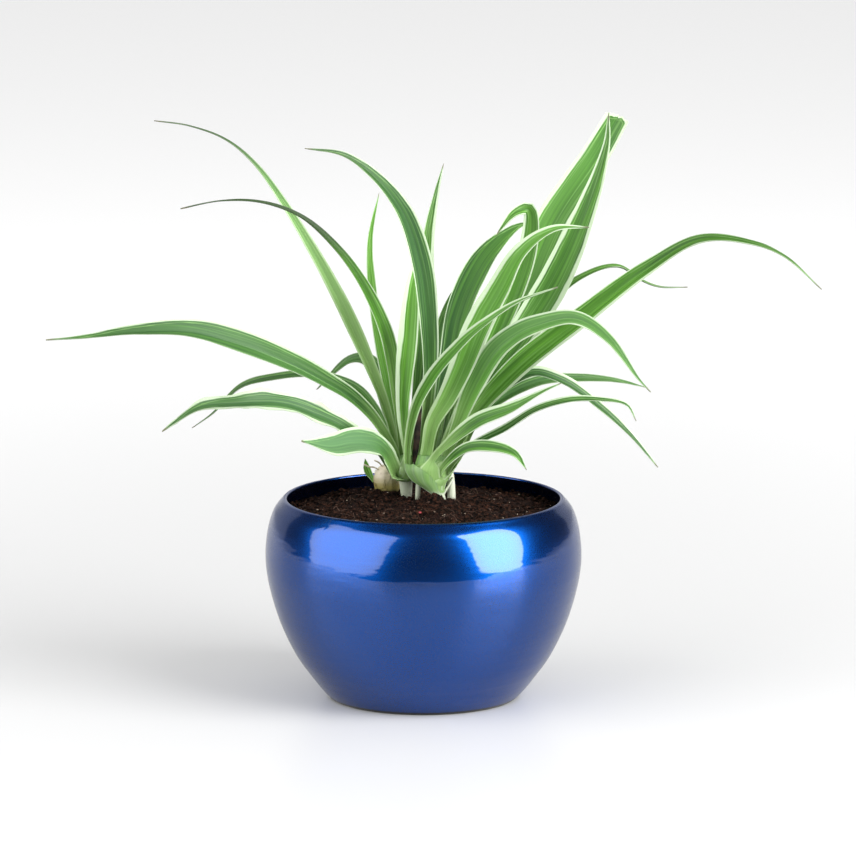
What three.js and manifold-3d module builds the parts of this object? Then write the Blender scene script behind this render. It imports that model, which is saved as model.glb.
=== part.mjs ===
// A spider plant growing in a round lacquered metal bowl pot.
// Millimetres, +Z up. The origin is the centre of the pot's underside.
// +X is the right of the plant's front and +Y is its back.

import * as THREE from 'three';
import { mergeVertices } from 'three/addons/utils/BufferGeometryUtils.js';
import Module from 'manifold-3d';

const manifold = await Module();
manifold.setup();

// Clearance between a piece and its neighbour
const seatGap = 0.3;

// Points closer than this are one point
const weldDistance = 1e-5;

// Pot: a spun sheet-metal bowl
const potRimHeight = 89;
const potWall = 1.2;
const potFloor = 2;
const potSides = 48;
const potOutlineSteps = 16;
const potInsideStep = 2;
const potOutline = [
  [43.2, 1.8], [49, 8.8], [56.6, 19.6], [63.4, 34], [68, 49.5],
  [69.7, 62], [68.8, 74], [66.2, 83], [62.5, 88],
];
const potBaseRadius = 41;
const potRimRadius = 61.2;
// Where the inside wall turns into the flat floor
const potFloorRise = 1;
const potFloorCorner = 3;

// Soil: filled to a little below the rim and mounded round the plant
const soilEdgeHeight = 80.5;
const soilMoundHeight = 85;
const soilMoundCentre = [0, 16];
const soilMoundReach = 40;
const soilLumps = 0.5;
const soilRings = 8;
// The soil's side follows the wall up to this far under the soil's edge
const soilWallStop = 3;
const soilTopStart = 2;
const soilBottomCorner = 4;

// Stems: ellipses from bottom to top, each [x, y, z, radius along X, radius along Y]
const stemSides = 14;
const leftStem = [
  [-7.5, 22, 72, 2, 2],
  [-7.5, 22, 84, 2.4, 2.4],
  [-7.8, 21, 91, 2.9, 3.2],
  [-8.5, 20, 96, 4.2, 5.8],
  [-9, 20.5, 100, 5, 7.4],
  [-9, 21, 103, 4, 6],
  [-9, 21, 105, 2, 3],
];
const sheathStem = [
  [9.5, 7, 72, 1.6, 1.6],
  [9.2, 7, 84, 1.9, 1.9],
  [6.8, 7.5, 90, 2.5, 2.3],
  [4.5, 8, 93.5, 5.2, 3.6],
  [3.5, 9, 97.5, 8.4, 6],
  [5, 11, 102, 9.6, 8.4],
  [7, 12.5, 106, 8, 8],
  [8, 13, 108.5, 4, 4.4],
];
const whiteStem = [
  [12.4, 12, 72, 1.7, 1.7],
  [12.4, 12, 84, 1.9, 1.9],
  [12, 12, 94, 1.8, 1.8],
  [10.5, 12, 101, 2.2, 2.2],
];
const thinStem = [
  [-2.6, 12.5, 74, 1, 1],
  [-2.6, 12.5, 86, 1.1, 1.1],
  [-2.2, 12, 92, 1.2, 1.2],
  [-1, 11, 98, 1.3, 1.3],
];
const bulb = [
  [-15, 30, 76, 1.6, 1.6],
  [-15.4, 29.5, 82, 4, 4],
  [-16, 29, 87, 5.4, 5.2],
  [-16.4, 29, 92, 5.6, 5.4],
  [-16.2, 29, 96, 4.4, 4.4],
  [-15.6, 29, 98.4, 1.8, 1.8],
];

// Leaf blades
const bladeThickness = 0.8;
const stationSpacing = 11;
const fewestStations = 8;
const mostStations = 18;
const tipFraction = 0.06;
const rootShare = 0.5;
const acrossShares = [-1, -0.5, 0, 0.5, 1];
// Where across a folded blade its path lies, and how the two waved edges differ in step
const pathShare = 0.8;
const waveLag = 1.3;

// Each leaf: half its width, where along it is widest, its fold at the root and towards the
// tip in degrees, the path of its midrib from root to tip, and which way its upper face looks
// at the root, in the middle and at the tip. A slender leaf narrows early, and a blunt one
// keeps that share of its width to the end. A waved edge has a height and a number of waves.
const leaves = [
  {
    name: 'leaf_left_high_arch', halfWidth: 4.3, widest: 0.33, slender: 1, fold: [42, 30],
    path: [
      [-12, 24, 103], [-16.5, 26, 124], [-28, 28, 153], [-41, 30, 180], [-59, 32, 211],
      [-74, 34, 232], [-87, 35, 243], [-103, 36, 249], [-119, 38, 251],
    ],
    faces: [[0.5, -0.8, 0.2], [0.3, -0.8, 0.5], [0, -0.3, 0.95]],
  },
  {
    name: 'leaf_left_mid_arch', halfWidth: 4.6, widest: 0.3, slender: 1.1, fold: [42, 30],
    path: [
      [-10, 23, 104], [-12, 24, 129], [-16, 25, 156], [-26, 20, 180], [-39, 14, 199],
      [-54, 9, 213], [-72, 4, 220], [-89, 0, 221], [-106, -4, 218],
    ],
    faces: [[0.5, -0.8, 0.2], [0.4, -0.7, 0.6], [0, -0.25, 1]],
  },
  {
    name: 'leaf_back_short', halfWidth: 3, widest: 0.35, fold: [35, 25],
    path: [
      [-10, 27, 104], [-13, 31, 120], [-18, 41, 143], [-23, 61, 172], [-24, 76, 192],
      [-20, 92, 211],
    ],
    faces: [[0, -1, 0.3], [0.4, -0.8, 0.4], [0.3, -0.6, 0.6]],
  },
  {
    name: 'leaf_upper_left_arch', halfWidth: 5.4, widest: 0.5, fold: [40, 25],
    path: [
      [-1, 12.3, 104], [1.5, 9, 124], [3, 5, 145], [2, -3, 173], [-1, -10, 196],
      [-8, -18, 218], [-20, -27, 235], [-34, -34, 246], [-51, -42, 250],
    ],
    faces: [[0.2, -1, 0], [0.3, -0.9, 0.3], [0, -0.5, 0.85]],
  },
  {
    name: 'leaf_left_bright', halfWidth: 4.8, widest: 0.5, fold: [38, 18],
    path: [
      [-7, 17, 105], [-9, 17, 120], [-9, 17, 131], [-7, 20, 155], [-5, 27, 177],
      [-3, 33, 188], [-1, 38, 200],
    ],
    faces: [[0, -1, 0], [-0.3, -1, 0.2], [0, -0.9, 0.5]],
  },
  {
    name: 'leaf_centre_back', halfWidth: 4.2, widest: 0.45, fold: [38, 22],
    path: [
      [-5, 22, 105], [-2, 27, 137], [1, 40, 170], [2, 53, 195], [6, 65, 216],
      [9, 72, 227],
    ],
    faces: [[0, -1, 0.1], [0.2, -0.9, 0.4], [0.5, -0.7, 0.6]],
  },
  {
    name: 'leaf_centre_grey', halfWidth: 3.4, widest: 0.4, fold: [35, 25],
    path: [[3, 18, 107], [5, 23, 137], [7, 31, 157], [11, 37, 170], [16, 40, 179]],
    faces: [[0, -1, 0.2], [0, -1, 0.2], [0, -0.9, 0.4]],
  },
  {
    name: 'leaf_dark_upper', halfWidth: 6.4, widest: 0.68, fold: [38, 18],
    path: [
      [4, 15, 107], [8, 17, 130], [11, 20, 145], [15, 29, 165], [21, 36, 180],
      [29, 42, 192], [41, 47, 202], [47, 49, 204],
    ],
    faces: [[0, -1, 0.1], [-0.4, -0.9, 0.3], [-0.3, -0.8, 0.6]],
  },
  {
    name: 'leaf_kinked', halfWidth: 5.4, widest: 0.66, fold: [38, 22],
    path: [
      [9, 11, 108], [21, 13, 136], [30, 16, 154], [38.5, 19, 173], [44, 21, 188],
      [47.5, 23, 205], [46.5, 24, 213.5], [40.5, 22, 212.5], [32, 18, 203],
    ],
    faces: [[-0.3, -0.9, 0.2], [-0.5, -0.9, 0.2], [-0.4, -0.8, 0.4]],
  },
  {
    name: 'leaf_front_mid_arch', halfWidth: 7.2, widest: 0.45, fold: [40, 22],
    path: [
      [1, 9, 106], [4, 6, 121], [11, 3, 134], [17, 0, 148], [24, -3, 166],
      [33, -6, 183], [43, -11, 201], [57, -15, 211], [72, -18, 212],
    ],
    faces: [[-0.2, -1, 0.1], [-0.5, -0.9, 0.3], [-0.1, -0.45, 0.9]],
  },
  {
    name: 'leaf_upper_right_back', halfWidth: 7.6, widest: 0.55, blunt: 0.75, fold: [35, 15],
    path: [
      [9, 20, 108], [26, 28, 141], [43, 37, 173], [57, 46, 205], [77, 56, 234],
      [87, 60, 251],
    ],
    faces: [[-0.2, -1, 0.2], [-0.1, -1, 0.3], [-0.1, -1, 0.4]],
  },
  {
    name: 'leaf_upper_right_front', halfWidth: 7.8, widest: 0.5, fold: [35, 18],
    path: [
      [11, 16, 107], [25, 21, 132], [37, 25, 148], [52, 30, 170], [60, 32, 184],
      [74, 37, 217], [81, 41, 240], [82, 42, 254],
    ],
    faces: [[0, -1, 0.1], [-0.3, -0.95, 0.2], [-0.7, -0.6, 0.3]],
  },
  {
    name: 'leaf_right_long_arch', halfWidth: 6.4, widest: 0.25, slender: 0.5, fold: [38, 25],
    path: [
      [13, 11, 107], [24, 11, 126], [43, 9, 147], [69, 6, 168], [97, 3, 190],
      [121, 0, 204], [143, -3, 203], [158, -5, 197], [174, -8, 183],
    ],
    faces: [[-0.4, -0.85, 0.3], [-0.3, -0.8, 0.5], [0, -0.35, 0.95]],
  },
  {
    name: 'leaf_front_diagonal', halfWidth: 3.9, widest: 0.4, fold: [48, 38],
    path: [
      [-7, 13, 98], [-7, 10, 110], [-3, 2, 130], [4, -4, 144], [12, -10, 155],
      [23, -17, 167], [41, -28, 181], [58, -39, 189],
    ],
    faces: [[0, -1, 0], [-0.5, -0.8, 0.4], [0, -0.3, 0.95]],
  },
  {
    name: 'leaf_front_right_arch', halfWidth: 6, widest: 0.35, fold: [38, 20],
    path: [
      [10, 7, 105], [14, 6, 117], [21, 1, 136], [31, -6, 155], [39, -11, 163],
      [49, -18, 169], [66, -30, 174], [80, -42, 167], [93, -53, 151], [98, -56, 146],
    ],
    faces: [[-0.3, -0.9, 0.1], [-0.2, -0.75, 0.6], [0.5, -0.5, 0.7]],
  },
  {
    name: 'leaf_back_right_thin', halfWidth: 3.2, widest: 0.4, fold: [35, 30],
    path: [
      [9, 20, 103], [34, 42, 143], [54, 54, 165], [70, 63, 177], [87, 71, 181],
      [99, 77, 173], [106, 80, 170], [119, 85, 169],
    ],
    faces: [[0, -0.6, 0.6], [-0.2, -0.4, 0.9], [0, -0.3, 1]],
  },
  {
    name: 'leaf_right_drooping', halfWidth: 3.6, widest: 0.5, fold: [38, 25],
    path: [
      [16, 14, 105], [25, 15, 124], [36, 16, 136], [49, 18, 142], [62, 19, 138],
      [76, 21, 128], [91, 22, 114], [104, 23, 98],
    ],
    faces: [[0, -0.8, 0.5], [0.2, -0.5, 0.8], [0.7, -0.6, 0.3]],
  },
  {
    name: 'leaf_back_right_grey', halfWidth: 3.6, widest: 0.5, fold: [38, 22],
    path: [
      [14, 18, 105], [25, 24, 121], [36, 29, 129], [52, 35, 135], [71, 42, 135],
      [86, 47, 133], [100, 51, 129],
    ],
    faces: [[0, -0.8, 0.5], [0, -0.5, 0.8], [0.2, -0.4, 0.8]],
  },
  {
    name: 'leaf_right_mid_low', halfWidth: 4.2, widest: 0.4, fold: [40, 25],
    path: [
      [4, 5, 105], [13, 1, 115], [24, -3, 124], [39, -9, 131], [54, -15, 140],
      [60, -17, 143],
    ],
    faces: [[-0.3, -0.8, 0.4], [-0.2, -0.75, 0.6], [0, -0.4, 0.9]],
  },
  {
    name: 'leaf_right_low_long', halfWidth: 3.6, widest: 0.5, fold: [38, 25],
    path: [
      [10.5, 5.5, 99.5], [20, 2, 111], [36, 0, 120], [49, -4, 129], [63, -8, 134],
      [77, -12, 135], [89, -15, 133], [93, -16, 126],
    ],
    faces: [[-0.3, -0.6, 0.6], [-0.1, -0.3, 0.9], [0.2, -0.4, 0.85]],
  },
  {
    name: 'leaf_right_small_low', halfWidth: 4, widest: 0.55, fold: [38, 22],
    path: [
      [7, 4, 99], [11, 1, 105], [19, -5, 112], [30, -13, 114], [40, -20, 112],
      [45, -25, 106],
    ],
    faces: [[-0.4, -0.8, 0.3], [-0.1, -0.6, 0.8], [0.5, -0.6, 0.6]],
  },
  {
    name: 'leaf_left_long', halfWidth: 7.1, widest: 0.56, slender: 0.6, fold: [56, 28],
    path: [
      [-12, 19, 102], [-20.5, 14, 120], [-31, 10, 132], [-43.5, 5, 141], [-56, 1, 148.5],
      [-79, -5, 159], [-102, -11, 166], [-125, -17, 166.5], [-148, -23, 164.5], [-164, -28, 164],
    ],
    faces: [[0.4, -0.8, 0.3], [0.2, -0.7, 0.7], [0, -0.3, 0.95]],
  },
  {
    name: 'leaf_left_low', halfWidth: 6, widest: 0.55, fold: [40, 20],
    path: [
      [-13.5, 15, 98], [-20, 9, 109], [-28, 4, 115.5], [-37, -2, 122.5], [-45, -8, 127.5],
      [-61, -18, 135], [-80, -29, 137], [-98, -39, 136], [-113, -47, 127],
    ],
    faces: [[0.4, -0.8, 0.3], [0.1, -0.65, 0.75], [-0.3, -0.5, 0.8]],
    wave: { height: 0.7, count: 5 },
  },
  {
    name: 'leaf_left_front_broad', halfWidth: 8.1, widest: 0.55, fold: [42, 15],
    path: [
      [-12, 13, 97], [-16, 8, 107], [-20, 2, 112.5], [-30, -11, 116], [-41, -21, 116],
      [-53, -30, 119.5],
    ],
    faces: [[0.4, -0.8, 0.4], [0.1, -0.75, 0.7], [-0.2, -0.6, 0.8]],
    wave: { height: 0.9, count: 2.5 },
  },
  {
    name: 'leaf_back_left_dark', halfWidth: 3.2, widest: 0.55, fold: [38, 22],
    path: [
      [-12.5, 24, 97], [-18, 30, 117], [-23, 34, 125], [-31, 38, 132], [-48, 45, 136],
      [-66, 51, 134], [-82, 57, 128.5], [-95, 63, 115], [-104, 66, 108],
    ],
    faces: [[0.3, -0.8, 0.4], [0, -0.4, 0.9], [-0.4, -0.4, 0.8]],
  },
  {
    name: 'leaf_back_left_short', halfWidth: 3.9, widest: 0.5, fold: [38, 20],
    path: [
      [-10.8, 26.8, 99], [-17, 39, 126], [-20, 45, 136], [-25, 49, 142], [-33, 55, 141],
      [-48, 63, 126],
    ],
    faces: [[0.3, -0.8, 0.4], [0, -0.6, 0.7], [-0.4, -0.5, 0.7]],
  },
  {
    name: 'leaf_bulb_sprout', halfWidth: 1.8, widest: 0.5, fold: [30, 20],
    path: [[-22, 32, 90], [-25, 33, 95], [-26, 34, 100]],
    faces: [[0, -1, 0.3], [0, -1, 0.3], [0, -1, 0.3]],
  },
];

function material(colour, roughness, metalness = 0) {
  return new THREE.MeshStandardMaterial({ color: colour, roughness, metalness });
}

const lacquer = material(0x1f4f9c, 0.22, 0.7);
const cocoPeat = material(0x35231c, 0.95);
const paleStalk = material(0xd9dec6, 0.55);
const driedBulb = material(0xc2a97c, 0.6);
const leafGreen = material(0x5f9c4d, 0.42);

// A closed three.js geometry as a solid that can be cut and joined
function solidOf(geometry) {
  const bare = geometry.clone();
  bare.deleteAttribute('normal');
  bare.deleteAttribute('uv');
  const merged = mergeVertices(bare, weldDistance);
  return new manifold.Manifold(new manifold.Mesh({
    numProp: 3,
    vertProperties: new Float32Array(merged.attributes.position.array),
    triVerts: new Uint32Array(merged.index.array),
  }));
}

function geometryOf(solid) {
  const mesh = solid.getMesh();
  const geometry = new THREE.BufferGeometry();
  geometry.setAttribute('position', new THREE.BufferAttribute(new Float32Array(mesh.vertProperties), 3));
  geometry.setIndex(new THREE.BufferAttribute(new Uint32Array(mesh.triVerts), 1));
  geometry.computeVertexNormals();
  return geometry;
}

function geometryFrom(vertices, triangles) {
  const geometry = new THREE.BufferGeometry();
  geometry.setAttribute('position', new THREE.Float32BufferAttribute(vertices.flat(), 3));
  geometry.setIndex(triangles.flat());
  geometry.computeVertexNormals();
  return geometry;
}

// Closed rings of equal length, joined by quads and capped at both ends
function loft(rings) {
  const sides = rings[0].length;
  const vertices = rings.flat();
  const triangles = [];
  for (let row = 0; row < rings.length - 1; row += 1) {
    for (let side = 0; side < sides; side += 1) {
      const next = (side + 1) % sides;
      const a = row * sides + side;
      const b = row * sides + next;
      triangles.push([a, b, b + sides], [a, b + sides, a + sides]);
    }
  }
  for (const [row, flip] of [[0, true], [rings.length - 1, false]]) {
    const middle = vertices.length;
    const centre = [0, 1, 2].map((k) => rings[row].reduce((sum, v) => sum + v[k], 0) / sides);
    vertices.push(centre);
    for (let side = 0; side < sides; side += 1) {
      const a = row * sides + side;
      const b = row * sides + ((side + 1) % sides);
      triangles.push(flip ? [middle, b, a] : [middle, a, b]);
    }
  }
  return geometryFrom(vertices, triangles);
}

// A stem or bulb: ellipses in level planes, grown outward by a clearance
function stemSolid(ellipses, grown = 0) {
  const widest = ellipses.reduce((best, e, index) => (e[3] > ellipses[best][3] ? index : best), 0);
  const rings = ellipses.map(([x, y, z, rx, ry], index) => {
    const shift = index > widest ? grown : 0;
    const lift = index === 0 ? -grown : shift;
    const ring = [];
    for (let side = 0; side < stemSides; side += 1) {
      const angle = (2 * Math.PI * side) / stemSides;
      ring.push([x + (rx + grown) * Math.cos(angle), y + (ry + grown) * Math.sin(angle), z + lift]);
    }
    return ring;
  });
  return solidOf(loft(rings));
}

function potOutlinePoints() {
  const curve = new THREE.SplineCurve([
    [potBaseRadius, 0], ...potOutline, [potRimRadius, potRimHeight],
  ].map(([r, z]) => new THREE.Vector2(r, z)));
  return curve.getPoints(potOutlineSteps);
}

// The inside of the bowl: the outline moved in by a distance, above a floor height
function insidePoints(inset, floor) {
  const outline = potOutlinePoints();
  const inside = [];
  for (let i = 1; i < outline.length; i += 1) {
    const along = outline[i].clone().sub(outline[i - 1]).normalize();
    const point = outline[i].clone().add(new THREE.Vector2(-along.y, along.x).multiplyScalar(inset));
    if (point.y > floor + potFloorRise) {
      inside.push(point);
    }
  }
  return inside.filter((_, i) => i % potInsideStep === (inside.length - 1) % potInsideStep);
}

function potGeometry() {
  const outside = potOutlinePoints();
  const inside = insidePoints(potWall, potFloor);
  const lip = inside[inside.length - 1];
  lip.y = potRimHeight;
  const floorCorner = new THREE.Vector2(inside[0].x - potFloorCorner, potFloor);
  const profile = [
    new THREE.Vector2(0, 0),
    ...outside,
    ...inside.reverse(),
    floorCorner,
    new THREE.Vector2(0, potFloor),
  ];
  return new THREE.LatheGeometry(profile, potSides).rotateX(Math.PI / 2);
}

// Soil surface height: a mound near the plant, small lumps, and level at the wall
function soilHeight(x, y) {
  const fromMound = Math.hypot(x - soilMoundCentre[0], y - soilMoundCentre[1]) / soilMoundReach;
  const mound = Math.exp(-fromMound * fromMound) * (soilMoundHeight - soilEdgeHeight);
  const lumps = Math.sin(0.31 * x + 1.3) * Math.cos(0.27 * y) + Math.sin(0.57 * x - 0.43 * y);
  return soilEdgeHeight + mound + soilLumps * lumps;
}

function soilSolid() {
  const inside = insidePoints(potWall + seatGap, potFloor);
  const wall = inside.filter((p) => p.y < soilEdgeHeight - soilWallStop);
  const topRadius = inside.find((p) => p.y > soilEdgeHeight + soilTopStart).x;
  const ringAt = (radius, heightAt) => {
    const ring = [];
    for (let side = 0; side < potSides; side += 1) {
      const angle = (2 * Math.PI * side) / potSides;
      const x = radius * Math.cos(angle);
      const y = radius * Math.sin(angle);
      ring.push([x, y, heightAt(x, y)]);
    }
    return ring;
  };
  const bottom = potFloor + seatGap;
  const rings = [ringAt(wall[0].x - soilBottomCorner, () => bottom)];
  for (const point of wall) {
    rings.push(ringAt(point.x, () => point.y));
  }
  for (let step = 0; step < soilRings; step += 1) {
    rings.push(ringAt(topRadius * (1 - step / soilRings), soilHeight));
  }
  return solidOf(loft(rings));
}

const crowns = {
  crown_left: [leftStem],
  crown_right: [sheathStem, whiteStem, thinStem],
  old_bulb: [bulb],
};

function crownSolid(stems, grown = 0) {
  return stems.map((stem) => stemSolid(stem, grown)).reduce((whole, stem) => whole.add(stem));
}

// How wide a blade is along its length, from 0 at the root to 1 at the tip
function widthAt(along, leaf) {
  const { widest, slender = 0, blunt = tipFraction } = leaf;
  if (along < widest) {
    const rise = along / widest;
    return rootShare + (1 - rootShare) * rise * rise * (3 - 2 * rise);
  }
  const fall = (along - widest) / (1 - widest);
  const start = 1.8 - 0.6 * slender;
  const end = 1.15 + 0.45 * slender;
  return blunt + (1 - blunt) * (1 - fall ** start) ** end;
}

function between(three, along) {
  const [first, middle, last] = three.map((v) => new THREE.Vector3(...v));
  return along < 0.5 ? first.lerp(middle, along * 2) : middle.lerp(last, along * 2 - 1);
}

// How far a waved blade leaves its plane, most at the two edges and where it is wide
function rippleAt(along, share, leaf) {
  if (!leaf.wave) {
    return 0;
  }
  const height = leaf.wave.height * widthAt(along, leaf);
  return height * share * share * Math.sin(2 * Math.PI * leaf.wave.count * along + waveLag * share);
}

// A folded, arching blade of even thickness, the same triangles on both faces
function bladeGeometry(leaf) {
  const points = leaf.path.map((p) => new THREE.Vector3(...p));
  const curve = new THREE.CatmullRomCurve3(points, false, 'centripetal');
  const stations = THREE.MathUtils.clamp(
    Math.round(curve.getLength() / stationSpacing), fewestStations, mostStations);
  const vertices = [];
  for (let i = 0; i <= stations; i += 1) {
    const along = i / stations;
    const centre = curve.getPointAt(along);
    const tangent = curve.getTangentAt(along);
    const face = between(leaf.faces, along);
    const normal = face.addScaledVector(tangent, -face.dot(tangent)).normalize();
    const side = new THREE.Vector3().crossVectors(tangent, normal);
    const half = leaf.halfWidth * widthAt(along, leaf);
    const foldDegrees = THREE.MathUtils.lerp(leaf.fold[0], leaf.fold[1], Math.min(1, along * 2));
    const fold = THREE.MathUtils.degToRad(foldDegrees);
    for (const share of acrossShares) {
      const rise = (Math.abs(share) - pathShare) * half * Math.sin(fold)
        + rippleAt(along, share, leaf);
      const middle = centre.clone()
        .addScaledVector(side, share * half * Math.cos(fold))
        .addScaledVector(normal, rise);
      for (const offset of [bladeThickness / 2, -bladeThickness / 2]) {
        vertices.push(middle.clone().addScaledVector(normal, offset).toArray());
      }
    }
  }
  // Vertex of a station, a place across and a face, 0 above and 1 below
  const at = (i, j, face) => (i * acrossShares.length + j) * 2 + face;
  const last = acrossShares.length - 1;
  const triangles = [];
  const quad = (a, b, c, d) => triangles.push([a, b, c], [a, c, d]);
  for (let i = 0; i < stations; i += 1) {
    for (let j = 0; j < last; j += 1) {
      quad(at(i, j, 0), at(i, j + 1, 0), at(i + 1, j + 1, 0), at(i + 1, j, 0));
      triangles.push(
        [at(i, j, 1), at(i + 1, j + 1, 1), at(i, j + 1, 1)],
        [at(i, j, 1), at(i + 1, j, 1), at(i + 1, j + 1, 1)],
      );
    }
    quad(at(i, 0, 1), at(i, 0, 0), at(i + 1, 0, 0), at(i + 1, 0, 1));
    quad(at(i, last, 0), at(i, last, 1), at(i + 1, last, 1), at(i + 1, last, 0));
  }
  for (let j = 0; j < last; j += 1) {
    quad(at(0, j, 1), at(0, j + 1, 1), at(0, j + 1, 0), at(0, j, 0));
    quad(at(stations, j, 0), at(stations, j + 1, 0), at(stations, j + 1, 1), at(stations, j, 1));
  }
  return geometryFrom(vertices, triangles);
}

// What a leaf must stay clear of: the stems that it grows from
const grownCrowns = Object.values(crowns)
  .map((stems) => crownSolid(stems, seatGap))
  .reduce((whole, crown) => whole.add(crown));

function leafGeometry(leaf) {
  return geometryOf(solidOf(bladeGeometry(leaf)).subtract(grownCrowns));
}

const plant = new THREE.Group();

function addPiece(name, geometry, finish) {
  const mesh = new THREE.Mesh(geometry, finish);
  mesh.name = name;
  plant.add(mesh);
}

addPiece('pot', potGeometry(), lacquer);
addPiece('soil', geometryOf(soilSolid().subtract(grownCrowns)), cocoPeat);
for (const [name, stems] of Object.entries(crowns)) {
  addPiece(name, geometryOf(crownSolid(stems)), name === 'old_bulb' ? driedBulb : paleStalk);
}
for (const leaf of leaves) {
  addPiece(leaf.name, leafGeometry(leaf), leafGreen);
}

export default plant;
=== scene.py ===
"""A potted spider plant: fine leaves, crowns, soil and a lacquered bowl pot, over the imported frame.

Lengths in the tables are millimetres, and everything is made in metres, in the frame of the part.
+X is the right of the plant's front, +Y its back and +Z up.
"""

import math
import random

import bpy
import numpy as np
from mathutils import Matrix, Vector, noise


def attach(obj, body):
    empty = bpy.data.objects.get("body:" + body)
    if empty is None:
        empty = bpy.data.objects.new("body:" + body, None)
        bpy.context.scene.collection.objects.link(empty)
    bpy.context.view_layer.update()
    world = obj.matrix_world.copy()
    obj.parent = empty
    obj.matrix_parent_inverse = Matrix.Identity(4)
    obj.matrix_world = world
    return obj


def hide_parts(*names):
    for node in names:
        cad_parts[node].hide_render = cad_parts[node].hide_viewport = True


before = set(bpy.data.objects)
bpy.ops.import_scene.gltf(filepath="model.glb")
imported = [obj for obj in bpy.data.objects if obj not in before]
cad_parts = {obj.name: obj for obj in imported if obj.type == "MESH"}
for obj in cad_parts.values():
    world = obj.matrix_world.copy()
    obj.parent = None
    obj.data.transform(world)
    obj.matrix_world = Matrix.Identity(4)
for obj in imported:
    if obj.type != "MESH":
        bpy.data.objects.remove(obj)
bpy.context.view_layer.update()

MM = 0.001

# Leaf blades follow the same paths, widths and folds as the part's source. Here they are thinner,
# with a rounded keel, more points across and along, and a base that clasps its stem
BLADE_THICKNESS = 0.45
BLADE_EDGE_THICKNESS = 0.22
KEEL_ROUNDING = 1.2
CURVE_STEPS = 40
STATION_STEP = 1.8
ACROSS = [-1, -0.94, -0.86, -0.74, -0.6, -0.45, -0.3, -0.15, -0.05]
ACROSS = ACROSS + [0] + [-share for share in reversed(ACROSS)]
TIP_FRACTION = 0.06
ROOT_SHARE = 0.5
PATH_SHARE = 0.8
WAVE_LAG = 1.3
# A blade comes to a point over its last stretch
POINT_FROM = 0.982
POINT_WIDTH = 0.3
# A blade blunter than this has a torn end: where the tear starts, how deep it is, and how much
# shorter the corners are
TORN_BLUNTNESS = 0.3
TEAR_FROM = 0.93
TEAR_DEPTH = 1.6
TEAR_CORNERS = 1.5
# Uneven growth: how high the edge and the whole blade ripple, and over what length, as with a frill
EDGE_RIPPLE = (0.3, 16)
SKIN_RIPPLE = (0.12, 9)
FRILL_LENGTH = 10
# How far in from its end a torn blade is white, and the share of its length that it counts as, so
# that it has no dry tip
TORN_MARGIN = 0.2
TORN_ALONG = 0.96
# The white margin narrows with the blade, to this share of its width
MARGIN_LEAST = 0.15
# Over what share of its length a blade darkens with painted shade, and between which shares its
# painted sheen sets in
SHADE_REACH = 0.25
PAINTED_SHEEN_SPAN = (-0.1, 0.45)

# What a leaf has where its row says nothing. slender: narrows early. blunt: the share of its width
# that it keeps to the end. wave: height and number of waves of its edges. tone: dark to bright, partly
# its own green and partly painted light and shade. grey: a grey painted sheen, the sky's reflection
# painted into the colour. margins: widths of the white at its left and right, seen along its upper
# face from the root. pale: how far up it is pale. halves: how much brighter its left and right are,
# partly variegation and partly painted light and shade on the two sides of its fold. slope: how much
# brighter its tip is than its root. dim: painted shade, how dark its outer part gets, and from how
# far along. frill: how far its margin is ruffled
PLAIN_LEAF = {
    "slender": 0, "blunt": TIP_FRACTION, "wave": None, "tone": 0, "grey": 0.1, "margins": (0.8, 0.8),
    "pale": 0.15, "halves": (0, 0), "slope": 0, "dim": (0, 0.4), "frill": 0,
}


def leaf_row(name, half_width, widest, fold, path, faces, **more):
    """Half its width, where along it is widest, its fold at the root and towards the tip in degrees,
    its midrib's path, and which way its upper face looks at the root, in the middle and at the tip."""
    row = {"name": "leaf_" + name, "half_width": half_width, "widest": widest, "fold": fold}
    return {**PLAIN_LEAF, **row, "path": path, "faces": faces, **more}


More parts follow.
